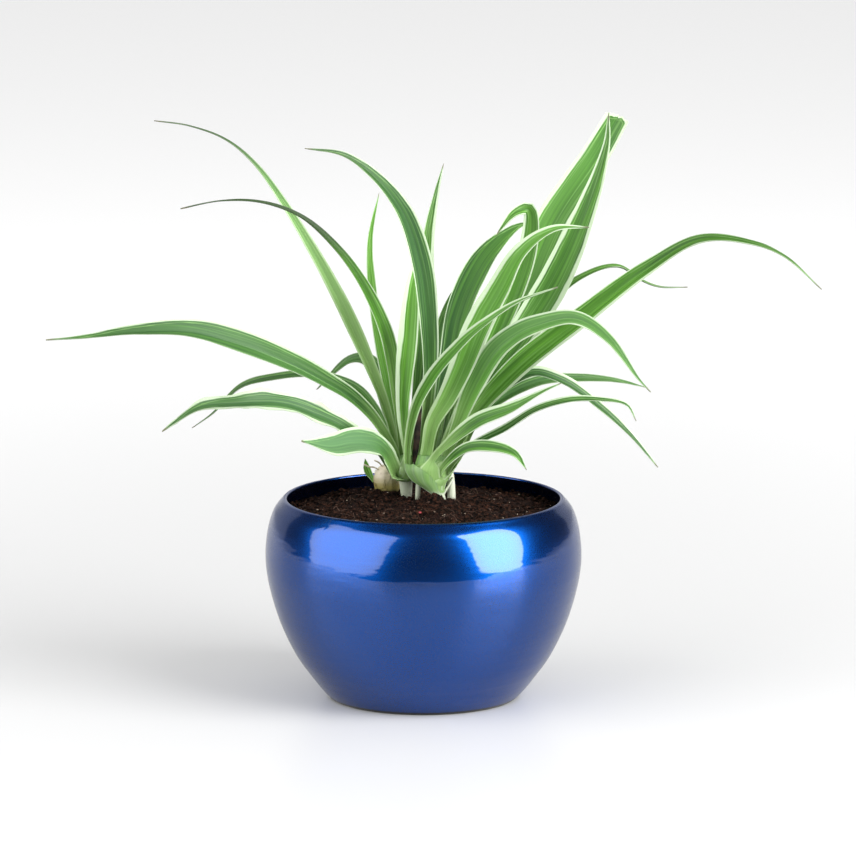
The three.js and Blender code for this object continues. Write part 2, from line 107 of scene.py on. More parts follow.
LEAVES = [
    leaf_row("left_high_arch", 4.3, 0.33, (42, 30),
        [(-12, 24, 103), (-16.5, 26, 124), (-28, 28, 153), (-41, 30, 180), (-59, 32, 211), (-74, 34, 232),
         (-87, 35, 243), (-103, 36, 249), (-119, 38, 251)],
        [(0.5, -0.8, 0.2), (0.3, -0.8, 0.5), (0, -0.3, 0.95)],
        slender=1, tone=0.5, grey=1.3, margins=(1.6, 0.8), pale=0.95, halves=(0.3, -0.4), dim=(0.85, 0.62)),
    leaf_row("left_mid_arch", 4.6, 0.3, (42, 30),
        [(-10, 23, 104), (-12, 24, 129), (-16, 25, 156), (-26, 20, 180), (-39, 14, 199), (-54, 9, 213),
         (-72, 4, 220), (-89, 0, 221), (-106, -4, 218)],
        [(0.5, -0.8, 0.2), (0.4, -0.7, 0.6), (0, -0.25, 1)],
        slender=1.1, tone=0.05, margins=(0.8, 0.4), pale=0.3, halves=(0.15, -0.1), dim=(1, 0.42)),
    leaf_row("back_short", 3, 0.35, (35, 25),
        [(-10, 27, 104), (-13, 31, 120), (-18, 41, 143), (-23, 61, 172), (-24, 76, 192), (-20, 92, 211)],
        [(0, -1, 0.3), (0.4, -0.8, 0.4), (0.3, -0.6, 0.6)],
        tone=0.4, margins=(0.5, 0.4)),
    leaf_row("upper_left_arch", 5.4, 0.5, (40, 25),
        [(-1, 12.3, 104), (1.5, 9, 124), (3, 5, 145), (2, -3, 173), (-1, -10, 196), (-8, -18, 218),
         (-20, -27, 235), (-34, -34, 246), (-51, -42, 250)],
        [(0.2, -1, 0), (0.3, -0.9, 0.3), (0, -0.5, 0.85)],
        tone=-0.7, grey=0.55, margins=(0.6, 0.8), pale=0.2, halves=(-0.1, 0.1), slope=-0.9, dim=(0.4, 0.75)),
    leaf_row("left_bright", 4.8, 0.5, (38, 18),
        [(-7, 17, 105), (-9, 17, 120), (-9, 17, 131), (-7, 20, 155), (-5, 27, 177), (-3, 33, 188),
         (-1, 38, 200)],
        [(0, -1, 0), (-0.3, -1, 0.2), (0, -0.9, 0.5)],
        tone=0.3, grey=0, margins=(2.2, 0.7), halves=(0.15, -0.1)),
    leaf_row("centre_back", 4.2, 0.45, (38, 22),
        [(-5, 22, 105), (-2, 27, 137), (1, 40, 170), (2, 53, 195), (6, 65, 216), (9, 72, 227)],
        [(0, -1, 0.1), (0.2, -0.9, 0.4), (0.5, -0.7, 0.6)],
        tone=-0.15, margins=(0.5, 1.8), dim=(0.2, 0.4)),
    leaf_row("centre_grey", 3.4, 0.4, (35, 25),
        [(3, 18, 107), (5, 23, 137), (7, 31, 157), (11, 37, 170), (16, 40, 179)],
        [(0, -1, 0.2), (0, -1, 0.2), (0, -0.9, 0.4)],
        grey=0.6, margins=(0.4, 0.4)),
    leaf_row("dark_upper", 6.4, 0.68, (38, 18),
        [(4, 15, 107), (8, 17, 130), (11, 20, 145), (15, 29, 165), (21, 36, 180), (29, 42, 192),
         (41, 47, 202), (47, 49, 204)],
        [(0, -1, 0.1), (-0.4, -0.9, 0.3), (-0.3, -0.8, 0.6)],
        tone=-0.5, grey=0.25, margins=(0.4, 0.3), halves=(-0.1, 0.15), slope=0.3),
    leaf_row("kinked", 5.4, 0.66, (38, 22),
        [(9, 11, 108), (21, 13, 136), (30, 16, 154), (38.5, 19, 173), (44, 21, 188), (47.5, 23, 205),
         (46.5, 24, 213.5), (40.5, 22, 212.5), (32, 18, 203)],
        [(-0.3, -0.9, 0.2), (-0.5, -0.9, 0.2), (-0.4, -0.8, 0.4)],
        tone=-0.05, margins=(1.4, 0.9)),
    leaf_row("front_mid_arch", 7.2, 0.45, (40, 22),
        [(1, 9, 106), (4, 6, 121), (11, 3, 134), (17, 0, 148), (24, -3, 166), (33, -6, 183),
         (43, -11, 201), (57, -15, 211), (72, -18, 212)],
        [(-0.2, -1, 0.1), (-0.5, -0.9, 0.3), (-0.1, -0.45, 0.9)],
        tone=0.4, grey=0.25, margins=(2.2, 1.3), pale=0.3, halves=(0.1, -0.15), slope=-0.35),
    leaf_row("upper_right_back", 7.6, 0.55, (35, 15),
        [(9, 20, 108), (26, 28, 141), (43, 37, 173), (57, 46, 205), (77, 56, 234), (87, 60, 251)],
        [(-0.2, -1, 0.2), (-0.1, -1, 0.3), (-0.1, -1, 0.4)],
        blunt=0.75, tone=0.35, grey=0.35, margins=(1.7, 1.3), halves=(0.1, 0), slope=-1.05),
    leaf_row("upper_right_front", 7.8, 0.5, (35, 18),
        [(11, 16, 107), (25, 21, 132), (37, 25, 148), (52, 30, 170), (60, 32, 184), (74, 37, 217),
         (81, 41, 240), (82, 42, 254)],
        [(0, -1, 0.1), (-0.3, -0.95, 0.2), (-0.7, -0.6, 0.3)],
        tone=-0.1, grey=0.2, margins=(1.8, 2.3), halves=(-0.05, 0.1)),
    leaf_row("right_long_arch", 6.4, 0.25, (38, 25),
        [(13, 11, 107), (24, 11, 126), (43, 9, 147), (69, 6, 168), (97, 3, 190), (121, 0, 204),
         (143, -3, 203), (158, -5, 197), (174, -8, 183)],
        [(-0.4, -0.85, 0.3), (-0.3, -0.8, 0.5), (0, -0.35, 0.95)],
        slender=0.5, tone=0.05, grey=0, margins=(0.4, 1.9), pale=0.12, halves=(-0.1, 0.1), slope=-0.4,
        dim=(0.4, 0.5)),
    leaf_row("front_diagonal", 3.9, 0.4, (48, 38),
        [(-7, 13, 98), (-7, 10, 110), (-3, 2, 130), (4, -4, 144), (12, -10, 155), (23, -17, 167),
         (41, -28, 181), (58, -39, 189)],
        [(0, -1, 0), (-0.5, -0.8, 0.4), (0, -0.3, 0.95)],
        tone=0.15, grey=0.25, margins=(1.1, 1), pale=0.3, halves=(0.2, -0.2)),
    leaf_row("front_right_arch", 6, 0.35, (38, 20),
        [(10, 7, 105), (14, 6, 117), (21, 1, 136), (31, -6, 155), (39, -11, 163), (49, -18, 169),
         (66, -30, 174), (80, -42, 167), (93, -53, 151), (98, -56, 146)],
        [(-0.3, -0.9, 0.1), (-0.2, -0.75, 0.6), (0.5, -0.5, 0.7)],
        tone=0.5, grey=0.9, margins=(0.9, 1.2), pale=0.2, halves=(-0.15, 0.1), slope=-0.5, dim=(0.25, 0.6)),
    leaf_row("back_right_thin", 3.2, 0.4, (35, 30),
        [(9, 20, 103), (34, 42, 143), (54, 54, 165), (70, 63, 177), (87, 71, 181), (99, 77, 173),
         (106, 80, 170), (119, 85, 169)],
        [(0, -0.6, 0.6), (-0.2, -0.4, 0.9), (0, -0.3, 1)],
        margins=(0.3, 0.3), dim=(0.4, 0.4)),
    leaf_row("right_drooping", 3.6, 0.5, (38, 25),
        [(16, 14, 105), (25, 15, 124), (36, 16, 136), (49, 18, 142), (62, 19, 138), (76, 21, 128),
         (91, 22, 114), (104, 23, 98)],
        [(0, -0.8, 0.5), (0.2, -0.5, 0.8), (0.7, -0.6, 0.3)],
        tone=-0.8, grey=0.5, margins=(1.2, 0.4), halves=(0.15, -0.1)),
    leaf_row("back_right_grey", 3.6, 0.5, (38, 22),
        [(14, 18, 105), (25, 24, 121), (36, 29, 129), (52, 35, 135), (71, 42, 135), (86, 47, 133),
         (100, 51, 129)],
        [(0, -0.8, 0.5), (0, -0.5, 0.8), (0.2, -0.4, 0.8)],
        grey=0.8, margins=(0.3, 0.3), dim=(0.3, 0.45)),
    leaf_row("right_mid_low", 4.2, 0.4, (40, 25),
        [(4, 5, 105), (13, 1, 115), (24, -3, 124), (39, -9, 131), (54, -15, 140), (60, -17, 143)],
        [(-0.3, -0.8, 0.4), (-0.2, -0.75, 0.6), (0, -0.4, 0.9)],
        tone=-0.1, grey=0.35, margins=(1.2, 0.5), pale=0.35, halves=(0.15, 0)),
    leaf_row("right_low_long", 3.6, 0.5, (38, 25),
        [(10.5, 5.5, 99.5), (20, 2, 111), (36, 0, 120), (49, -4, 129), (63, -8, 134), (77, -12, 135),
         (89, -15, 133), (93, -16, 126)],
        [(-0.3, -0.6, 0.6), (-0.1, -0.3, 0.9), (0.2, -0.4, 0.85)],
        tone=-0.5, grey=0.35, margins=(0.8, 0.7), halves=(0, -0.15)),
    leaf_row("right_small_low", 4, 0.55, (38, 22),
        [(7, 4, 99), (11, 1, 105), (19, -5, 112), (30, -13, 114), (40, -20, 112), (45, -25, 106)],
        [(-0.4, -0.8, 0.3), (-0.1, -0.6, 0.8), (0.5, -0.6, 0.6)],
        tone=-0.15, grey=0.3, margins=(0.5, 1.2)),
    leaf_row("left_long", 7.1, 0.56, (56, 28),
        [(-12, 19, 102), (-20.5, 14, 120), (-31, 10, 132), (-43.5, 5, 141), (-56, 1, 148.5),
         (-79, -5, 159), (-102, -11, 166), (-125, -17, 166.5), (-148, -23, 164.5), (-164, -28, 164)],
        [(0.4, -0.8, 0.3), (0.2, -0.7, 0.7), (0, -0.3, 0.95)],
        slender=0.6, tone=-0.4, grey=0.65, margins=(0.4, 0.8), halves=(0.05, -0.1), dim=(0.3, 0.6)),
    leaf_row("left_low", 6, 0.55, (40, 20),
        [(-13.5, 15, 98), (-20, 9, 109), (-28, 4, 115.5), (-37, -2, 122.5), (-45, -8, 127.5),
         (-61, -18, 135), (-80, -29, 137), (-98, -39, 136), (-113, -47, 127)],
        [(0.4, -0.8, 0.3), (0.1, -0.65, 0.75), (-0.3, -0.5, 0.8)],
        wave=(0.7, 5), tone=-0.6, grey=0.8, margins=(1.9, 1.3), halves=(-0.1, 0.1), dim=(0.35, 0.5),
        frill=1.5),
    leaf_row("left_front_broad", 8.1, 0.55, (42, 15),
        [(-12, 13, 97), (-16, 8, 107), (-20, 2, 112.5), (-30, -11, 116), (-41, -21, 116), (-53, -30, 119.5)],
        [(0.4, -0.8, 0.4), (0.1, -0.75, 0.7), (-0.2, -0.6, 0.8)],
        wave=(0.9, 2.5), tone=0.3, grey=1.75, margins=(1.9, 1.3), halves=(0.1, -0.1), frill=0.6),
    leaf_row("back_left_dark", 3.2, 0.55, (38, 22),
        [(-12.5, 24, 97), (-18, 30, 117), (-23, 34, 125), (-31, 38, 132), (-48, 45, 136), (-66, 51, 134),
         (-82, 57, 128.5), (-95, 63, 115), (-104, 66, 108)],
        [(0.3, -0.8, 0.4), (0, -0.4, 0.9), (-0.4, -0.4, 0.8)],
        tone=-0.3, grey=0.5, margins=(0.3, 0.3), dim=(0.5, 0.4)),
    leaf_row("back_left_short", 3.9, 0.5, (38, 20),
        [(-10.8, 26.8, 99), (-17, 39, 126), (-20, 45, 136), (-25, 49, 142), (-33, 55, 141), (-48, 63, 126)],
        [(0.3, -0.8, 0.4), (0, -0.6, 0.7), (-0.4, -0.5, 0.7)],
        tone=-0.2, grey=0.6, margins=(0.3, 0.3), dim=(0.4, 0.4)),
    leaf_row("bulb_sprout", 1.8, 0.5, (30, 20),
        [(-22, 32, 90), (-25, 33, 95), (-26, 34, 100)],
        [(0, -1, 0.3), (0, -1, 0.3), (0, -1, 0.3)],
        tone=0.35, grey=0, margins=(0.2, 0.2)),
]

# Stems as ellipses from bottom to top, each x, y, z, radius along X, radius along Y
LEFT_STEM = [
    [-7.5, 22, 76, 2, 2], [-7.5, 22, 84, 2.4, 2.4], [-7.8, 21, 91, 2.9, 3.2],
    [-8.5, 20, 96, 4.2, 5.8], [-9, 20.5, 100, 5, 7.4], [-9, 21, 103, 4, 6], [-9, 21, 105, 2, 3],
]
# The right crown is a funnel, narrow at its foot
FUNNEL = [
    [8.4, 7.2, 76, 1.9, 1.8], [8.4, 7.2, 84, 1.9, 1.8], [7.2, 7.2, 88.5, 2.2, 2],
    [5, 7.5, 91.5, 3.4, 2.8], [3.2, 8, 95.5, 6.8, 4.4], [3.4, 9.6, 100.5, 9.8, 6.6],
    [5, 11.5, 105, 10.4, 7.4], [6.5, 13, 110, 10.4, 8], [6.5, 13, 114, 10.4, 8],
]
WHITE_STEM = [
    [12.4, 12, 76, 1.7, 1.7], [12.4, 12, 84, 1.9, 1.9], [12, 12, 94, 1.8, 1.8],
    [10.5, 12, 101, 2.2, 2.2],
]
THIN_STEM = [
    [-2.6, 12.5, 76, 1, 1], [-2.6, 12.5, 86, 1.1, 1.1], [-2.2, 12, 92, 1.2, 1.2],
    [-1, 11, 98, 1.3, 1.3],
]
BULB = [
    [-15, 30, 77, 1.6, 1.6], [-15.4, 29.5, 82, 4, 4], [-16, 29, 87, 5.4, 5.2],
    [-16.4, 29, 92, 5.6, 5.4], [-16.2, 29, 96, 4.4, 4.4], [-15.6, 29, 98.4, 1.8, 1.8],
]
# Where each stalk starts below the soil, and between which heights it is soiled: clean and full
STALK_FOOT = 78
SOILED = (89, 83)
# A stalk narrows between these heights, to leave room for the leaves' clasping bases
STALK_NECK = (91, 96)
# Stands for the distance to the free edge on what has none
NO_EDGE = 9.0
SHEATH_THICKNESS = 0.35
# The lowest sheaths of the two stems: lowest and highest place, angles, slant of the top, how far
# they stand off below and how much further above, and curl of the edge
LEFT_SHEATHS = [
    (84, 90.5, (190, 330), 1.5, 0.1, 0, 0),
    (85, 90.5, (30, 200), -1, 0.1, 0, 0),
]
RIGHT_SHEATHS = [
    (86, 98.5, (184, 292), -3.5, 1.1, -0.4, 1.1),
    (87, 92, (275, 360), 1, 0.1, 0, 0),
    (87, 93, (20, 170), 0, 0.1, 0, 0),
]
# Thin dry roots at the bulb's upper left, and the strands of dry skin on it
BULB_ROOTS = [
    [(-19.5, 27, 96), (-22, 26.5, 97.4), (-24.2, 26.2, 97.7), (-26.4, 26, 98.8)],
    [(-18.2, 27.5, 97.4), (-19.8, 27, 99.4), (-21.8, 26.8, 100.5)],
]
BULB_ROOT_RADIUS = 0.33
BULB_STRANDS = 16
BULB_STRAND_POINTS = 9
BULB_SHOULDER = 96.5
# An old dried flower stalk between the crowns, a fresh one within the right crown, and a thin
# pale strand beside the white stem
DRY_STALK = [(-3.2, 18.5, 96), (-2.9, 18.5, 104), (-2.3, 19, 113), (-1.3, 20, 124), (0, 21, 134)]
INNER_STALK = [(5.4, 15.5, 104), (7.2, 16, 111), (9.2, 17, 118), (11.8, 18.5, 128), (14.4, 20, 137)]
SLANTED_STRAND = [(6.2, 6.6, 81), (7.4, 7.1, 86), (9.6, 8.2, 90), (11.6, 9.3, 93.2), (13.2, 10.3, 96)]
SLANTED_RADIUS = 0.5
# Each stalk is a bundle of three strands: how far each is set off, and its radius
STALK_BUNDLE = [((0, 0, 0), 1.4), ((1.5, 0.5, -2), 0.9), ((-1.4, 0.2, -3), 0.8)]
# The leaves' clasping bases on the two stems: how low they reach, how far out they lie as a share
# of the stem's radius (fixed, and by how far out the root is), and how soon they turn white
CLASPS = {
    "left": {"stem": LEFT_STEM, "bottom": 93, "out": (0.72, 0.3), "fade": 1},
    "right": {"stem": FUNNEL, "bottom": 90, "out": (0.55, 0.45), "fade": 0.4},
}
CLASP_STEPS = 4
CLASP_REACH = 4.5
# How far a base reaches round its stem: in radii at most, and else in its own half widths, and by
# how much more for each millimetre down
CLASP_MOST_RADII = 1.1
CLASP_HALF_WIDTHS = 1.7
CLASP_SPREAD = 0.25
# From the upper to the lower of these heights, leaves root further and further out, by this share
CLASP_LOW = (110, 96)
CLASP_LOW_OUT = 0.14

# Pot and soil: the same outline and mound as the part's source
POT_OUTLINE = [
    [41, 0], [43.2, 1.8], [49, 8.8], [56.6, 19.6], [63.4, 34], [68, 49.5],
    [69.7, 62], [68.8, 74], [66.2, 83], [62.5, 88], [61.2, 89],
]
POT_WALL = 1.2
POT_FLOOR = 2
POT_SIDES = 160
POT_STEPS = 14
# The rounded lip: its radius, how far its middle lies in from the rim, and how many of the
# outline's last points it takes the place of, outside and inside
LIP_RADIUS = 0.6
LIP_INSET = 0.45
LIP_POINTS = 9
LIP_OUTSIDE = 2
LIP_INSIDE = 6
POT_CORNER = 3
SOIL_EDGE_HEIGHT = 80.5
SOIL_MOUND_HEIGHT = 85
SOIL_MOUND_CENTRE = (0, 16)
SOIL_MOUND_REACH = 40
SOIL_LUMPS = 0.5
# The surface's grain: height, how often it changes over a millimetre, and seed
SOIL_GRAIN = [(0.9, 0.35, 1), (0.55, 1, 2), (0.3, 2.3, 3)]
SOIL_RADIUS = 65.4
SOIL_RINGS = 74
SOIL_SIDES = 190
SOIL_FOOT_RADIUS = 44
SOIL_FOOT_HEIGHT = POT_FLOOR + 6
# Little heaps of peat against the stems: x, y, radius and height
SOIL_HEAPS = [
    (-16, 26, 6.5, 3), (6, 3.8, 4.6, 4.4), (0.5, 6.5, 4, 2.6), (-24, 22, 6, 1.5), (18, 20, 7, 1.2),
    (12.6, 9.6, 2.4, 1.3),
]
# Crumbs: how many, the smallest radius, how much larger they get, and how rare large ones are
CRUMBS = 5200
CRUMB_SIZE = 0.25
CRUMB_GROWTH = 1.1
CRUMB_RARITY = 2.8
CRUMB_WALL_GAP = 1.5
CRUMB_SUNK = (0, 0.5)
CRUMB_WIDTH = (0.7, 1.5)
CRUMB_HEIGHT = (0.5, 1)
CRUMB_CORNERS = (0.72, 1.18)
# Small reddish crumbs and pale specks: their sizes and the share that they make up
REDDISH_BELOW = 0.7
REDDISH_SHARE = 0.1
SPECK_SIZE = (0.15, 0.42)
SPECK_SHARE = 0.03
FIBRES = 190
FIBRE_POINTS = 8
FIBRE_RADIUS = (0.06, 0.13)
FIBRE_STEP = (0.3, 1.0)
FIBRE_HUMP = (0, 1.2)
FIBRE_BEND = 0.35
FIBRE_WANDER = 0.25
FIBRE_RAISED = 0.25
FIBRE_START_GAP = 7
FIBRE_WALL_GAP = 1.2
RED_SCRAP = (-1.5, -9)
RED_SCRAP_HEIGHT = 0.4
RED_SCRAP_SIZE = (0.5, 0.9)
# Which of the soil's materials a face has
PEAT, FIBRE, SPECK, SCRAP = range(4)

# Colours, as linear red, green and blue
BLACK = (0, 0, 0)
WHITE = (1, 1, 1)
LEAF_DARK = (0.01, 0.06, 0.005)
LEAF_BRIGHT = (0.138, 0.38, 0.035)
# A grey painted sheen: the sky's reflection painted into the leaves' colour
LEAF_PAINTED_SHEEN = (0.11, 0.225, 0.105)
LEAF_UNDER = (0.14, 0.29, 0.1)
LEAF_LINE = (0.34, 0.58, 0.2)
# Painted shade for the outer parts of the leaves
LEAF_PAINTED_SHADE = (0.012, 0.028, 0.007)
LEAF_DRY = (0.13, 0.11, 0.06)
LEAF_THROUGH = (0.5, 0.78, 0.15)
MARGIN_CREAM = (0.45, 0.59, 0.35)
MARGIN_WHITE = (0.61, 0.71, 0.54)
ROOT_GREEN = (0.15, 0.33, 0.06)
ROOT_PALE = (0.4, 0.56, 0.24)
ROOT_WHITE = (0.62, 0.68, 0.5)
STALK_PALE = ((0.5, 0.55, 0.4), (0.78, 0.8, 0.68))
STALK_LEAFY = ((0.05, 0.17, 0.03), (0.24, 0.43, 0.12))
DIRT = (0.035, 0.018, 0.012)
LACQUER_DEEP = (0.001, 0.054, 0.29)
LACQUER_BRIGHT = (0.003, 0.086, 0.43)
# Painted shade: the near-black contact line where the bowl stands on the floor
POT_FOOT_SHADE = (0.004, 0.006, 0.01)
# How deep the rings from the lathe are, in metres
LACQUER_RINGS = 0.00022

# The camera stands 3 m off and looks down by 10.4 degrees, as estimated from the photograph
CAMERA_PITCH = math.radians(10.4)
CAMERA_DISTANCE = 3.0
CAMERA_AIM = Vector((0.002, 0.0, 0.12))
CAMERA_LENS = 287
# Brightness of the room: as lit and seen, as mirrored in front and behind, and the share that is
# mirrored aside
ROOM_PLAIN = 0.92
ROOM_FRONT = 0.08
ROOM_BACK = 0.55
ROOM_ASIDE = 0.6
# The floor's edges in metres. It ends just in front, which puts the dark band into the pot's
# reflection
FLOOR_FRONT = -0.43
FLOOR_BACK = 6
FLOOR_SIDE = 4.0
FLOOR_NEAR = (0.56, 0.56, 0.56)
FLOOR_FAR = (0.985, 0.985, 0.985)
FLOOR_MIRRORED = 0.36
# Soft boxes: azimuth from the front, positive to the right, width in metres, and radiance
SOFTBOXES = {"left_softbox": (-60, 1.85, 2.8), "right_softbox": (57, 1.1, 8.6)}
SOFTBOX_ELEVATION = math.radians(24)
SOFTBOX_DISTANCE = 1.4
SOFTBOX_HEIGHT = 1.68
SOFTBOX_TARGET = Vector((0, 0, 0.09))


def add_object(name, vertices, faces, smooth=True, sharp_degrees=None):
    """A mesh object from vertices in millimetres."""
    mesh = bpy.data.meshes.new(name)
    mesh.from_pydata([tuple(np.asarray(v) * MM) for v in vertices], [], [tuple(f) for f in faces])
    mesh.polygons.foreach_set("use_smooth", [smooth] * len(mesh.polygons))
    if sharp_degrees:
        mesh.set_sharp_from_angle(angle=math.radians(sharp_degrees))
    mesh.update()
    thing = bpy.data.objects.new(name, mesh)
    bpy.context.scene.collection.objects.link(thing)
    return thing


def finish_piece(piece, materials, slot, *nodes):
    for material in materials:
        piece.data.materials.append(material)
    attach(piece, "root")
    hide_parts(*nodes)


def point_vectors(thing, name, values):
    """Stores one vector a vertex, which the material reads by its name."""
    layer = thing.data.attributes.new(name, "FLOAT_VECTOR", "POINT")
    layer.data.foreach_set("vector", np.asarray(values, dtype=np.float32).ravel())


def smooth_step(low, high, value):
    share = min(1.0, max(0.0, (value - low) / (high - low)))
    return share * share * (3 - 2 * share)


def wobble(x, y, z):
    """Smooth noise between -1 and 1, the same in each run."""
    return noise.noise(Vector((x, y, z)))


def turns(sides):
    """Angles of evenly spaced points round a ring."""
    return [2 * math.pi * side / sides for side in range(sides)]


def polar(radius, angle):
    return radius * math.cos(angle), radius * math.sin(angle)


def on_ellipse(ring, angle, out=1.0, off=0.0):
    """A point of a stem's ellipse, at a share of its radii or a distance off them."""
    x, y, rx, ry = ring
    return x + (rx * out + off) * math.cos(angle), y + (ry * out + off) * math.sin(angle)


def unit_rows(vectors):
    return vectors / np.linalg.norm(vectors, axis=1)[:, None]


def catmull_rom(points, steps, centripetal=True):
    """Dense points on a curve through the given points, with its ends carried straight on."""
    points = [np.array(p, dtype=float) for p in points]
    if centripetal:
        points = [2 * points[0] - points[1]] + points + [2 * points[-1] - points[-2]]
    else:
        points = [points[0]] + points + [points[-1]]
    dense = []
    for p0, p1, p2, p3 in zip(points, points[1:], points[2:], points[3:]):
        if centripetal:
            gaps = ((p0, p1), (p1, p2), (p2, p3))
            d0, d1, d2 = [max(np.linalg.norm(b - a), 1e-6) ** 0.5 for a, b in gaps]
            t1 = ((p1 - p0) / d0 - (p2 - p0) / (d0 + d1) + (p2 - p1) / d1) * d1
            t2 = ((p2 - p1) / d1 - (p3 - p1) / (d1 + d2) + (p3 - p2) / d2) * d1
        else:
            t1, t2 = (p2 - p0) / 2, (p3 - p1) / 2
        square = 3 * (p2 - p1) - 2 * t1 - t2
        cube = 2 * (p1 - p2) + t1 + t2
        for step in range(steps):
            t = step / steps
            dense.append(p1 + t1 * t + square * t ** 2 + cube * t ** 3)
    dense.append(points[-2])
    return np.array(dense)


def arc_lengths(dense):
    return np.concatenate([[0], np.cumsum(np.linalg.norm(np.diff(dense, axis=0), axis=1))])


def at_lengths(dense, lengths, wanted):
    return np.stack([np.interp(wanted, lengths, dense[:, k]) for k in range(dense.shape[1])], axis=1)


def ring_at(stem, height):
    """Centre and radii of a stem at a height, between its ellipses."""
    dense = catmull_rom(stem, 8)
    return [float(np.interp(height, dense[:, 2], dense[:, k])) for k in (0, 1, 3, 4)]


def ring_faces(first, rings, sides):
    """Faces that join closed rings of points, the first of which starts at a given vertex."""
    starts = range(first, first + rings * sides, sides)
    pairs = [(start + side, start + (side + 1) % sides) for start in starts for side in range(sides)]
    return [(a, b, b + sides, a + sides) for a, b in pairs]


def closed_rings(first, rings, sides):
    """The same, with a lid at each end."""
    last = first + rings * sides
    lids = [tuple(reversed(range(first, first + sides))), tuple(range(last, last + sides))]
    return ring_faces(first, rings, sides) + lids


def sheet_faces(rows, wide):
    """Faces of a thin closed sheet: an upper and a lower grid of points, joined all round."""
    under = (rows + 1) * wide
    last = wide - 1
    faces = []
    for row in range(rows):
        for column in range(last):
            a = row * wide + column
            faces.append((a, a + 1, a + 1 + wide, a + wide))
            a += under
            faces.append((a + wide, a + 1 + wide, a + 1, a))
        a = row * wide
        faces.append((a + under, a, a + wide, a + wide + under))
        a += last
        faces.append((a, a + under, a + wide + under, a + wide))
    end = rows * wide
    for column in range(last):
        faces.append((column + under, column + 1 + under, column + 1, column))
        faces.append((end + column, end + column + 1, end + column + 1 + under, end + column + under))
    return faces


def tube(vertices, faces, points, radius, sides):
    """A thin closed strand through the points, added to the lists."""
    first = len(vertices)
    for index, point in enumerate(points):
        ahead = points[min(index + 1, len(points) - 1)] - points[max(index - 1, 0)]
        ahead = ahead.normalized()
        across = ahead.cross(Vector((0, 0, 1)))
        across = across.normalized() if across.length > 1e-4 else Vector((1, 0, 0))
        over = across.cross(ahead)
        for angle in turns(sides):
            vertices.append(point + (across * math.cos(angle) + over * math.sin(angle)) * radius)
    faces += closed_rings(first, len(points) - 1, sides)


def width_at(along, leaf):
    """How wide a blade is along its length, from 0 at the root to 1 at the tip."""
    widest, slender, blunt = leaf["widest"], leaf["slender"], leaf["blunt"]
    if along < widest:
        return ROOT_SHARE + (1 - ROOT_SHARE) * smooth_step(0, widest, along)
    fall = (along - widest) / (1 - widest)
    return blunt + (1 - blunt) * (1 - fall ** (1.8 - 0.6 * slender)) ** (1.15 + 0.45 * slender)


def face_at(faces, along):
    first, middle, last = [np.array(face, dtype=float) for face in faces]
    if along < 0.5:
        return first + (middle - first) * max(0.0, along) * 2
    return middle + (last - middle) * (along * 2 - 1)


def clasp_of(leaf):
    """How a leaf clasps the nearer of the two stems, or nothing for the bulb's sprout."""
    if leaf["name"] == "leaf_bulb_sprout":
        return None
    root = leaf["path"][0]
    return min(CLASPS.values(), key=lambda clasp: math.dist(clasp["stem"][4][:2], root[:2]))


def clasp_ring(clasp, point, height):
    """The stem's ellipse at a height, and the angle and the share of its radii where a point lies."""
    x, y, rx, ry = ring = ring_at(clasp["stem"], min(height, clasp["stem"][-2][2]))
    right, back = (point[0] - x) / rx, (point[1] - y) / ry
    return ring, math.atan2(back, right), math.hypot(right, back)


def clasping_points(clasp, root):
    """Points up the stem's surface to a leaf's root. Lower leaves lie further out."""
    _, angle, reach = clasp_ring(clasp, root, root[2])
    fixed, by_reach = clasp["out"]
    outer = fixed + by_reach * reach + CLASP_LOW_OUT * smooth_step(*CLASP_LOW, root[2])
    points = []
    for step in range(CLASP_STEPS, 0, -1):
        share = step / CLASP_STEPS
        height = root[2] + (clasp["bottom"] - root[2]) * share
        ring = clasp_ring(clasp, root, height)[0]
        out = reach + (outer - reach) * min(1, share * 2)
        points.append([*on_ellipse(ring, angle, out), height])
    return points


def clasp_around(clasp, centre, side, normal, half, depth):
    """Where a blade's base lies round its oval stem: from the share across to point and normal."""
    ring, start, out = clasp_ring(clasp, centre, centre[2])
    x, y, rx, ry = ring
    out = max(out, 0.1)
    onward = np.array([-rx * math.sin(start), ry * math.cos(start), 0.0]) * out
    radius = np.linalg.norm(onward)
    sense = 1 if onward.dot(side) > 0 else -1
    facing = -1 if normal.dot(centre - np.array([x, y, centre[2]])) > 0 else 1
    wrapped = min(radius * CLASP_MOST_RADII, half * CLASP_HALF_WIDTHS + CLASP_SPREAD * depth)

    def place(share):
        angle = start + sense * share * wrapped / radius
        point = np.array([*on_ellipse(ring, angle, out), centre[2]])
        outward = np.array([math.cos(angle) / rx, math.sin(angle) / ry, 0.0])
        return point, -facing * outward / np.linalg.norm(outward)

    return place


def edge_ripple(leaf, seed, along, length, share, wide):
    """How far a blade leaves its plane at a share of its width, and how much of that is its frill."""
    edge_seed = 2.0 if share > 0 else 5.0
    high, reach = EDGE_RIPPLE
    ripple = high * share ** 2 * wobble(length / reach, seed * 7.3, edge_seed)
    high, reach = SKIN_RIPPLE
    ripple += high * wobble(length / reach, seed * 3.1, share * 2)
    if leaf["wave"]:
        high, count = leaf["wave"]
        ripple += high * wide * share ** 2 * math.sin(2 * math.pi * count * along + WAVE_LAG * share)
    frill = leaf["frill"] * share ** 4
    frill *= wobble(length / FRILL_LENGTH, seed * 1.7, edge_seed)
    return ripple + frill, frill


def tear_at(share, along, seed):
    """How much further a torn blade reaches at a share of its width."""
    tear = wobble(share * 2.6, seed, 0.4)
    tear += 0.5 * wobble(share * 9, seed, 0.4)
    return (TEAR_DEPTH * tear - TEAR_CORNERS * share ** 2) * smooth_step(TEAR_FROM, 1, along)


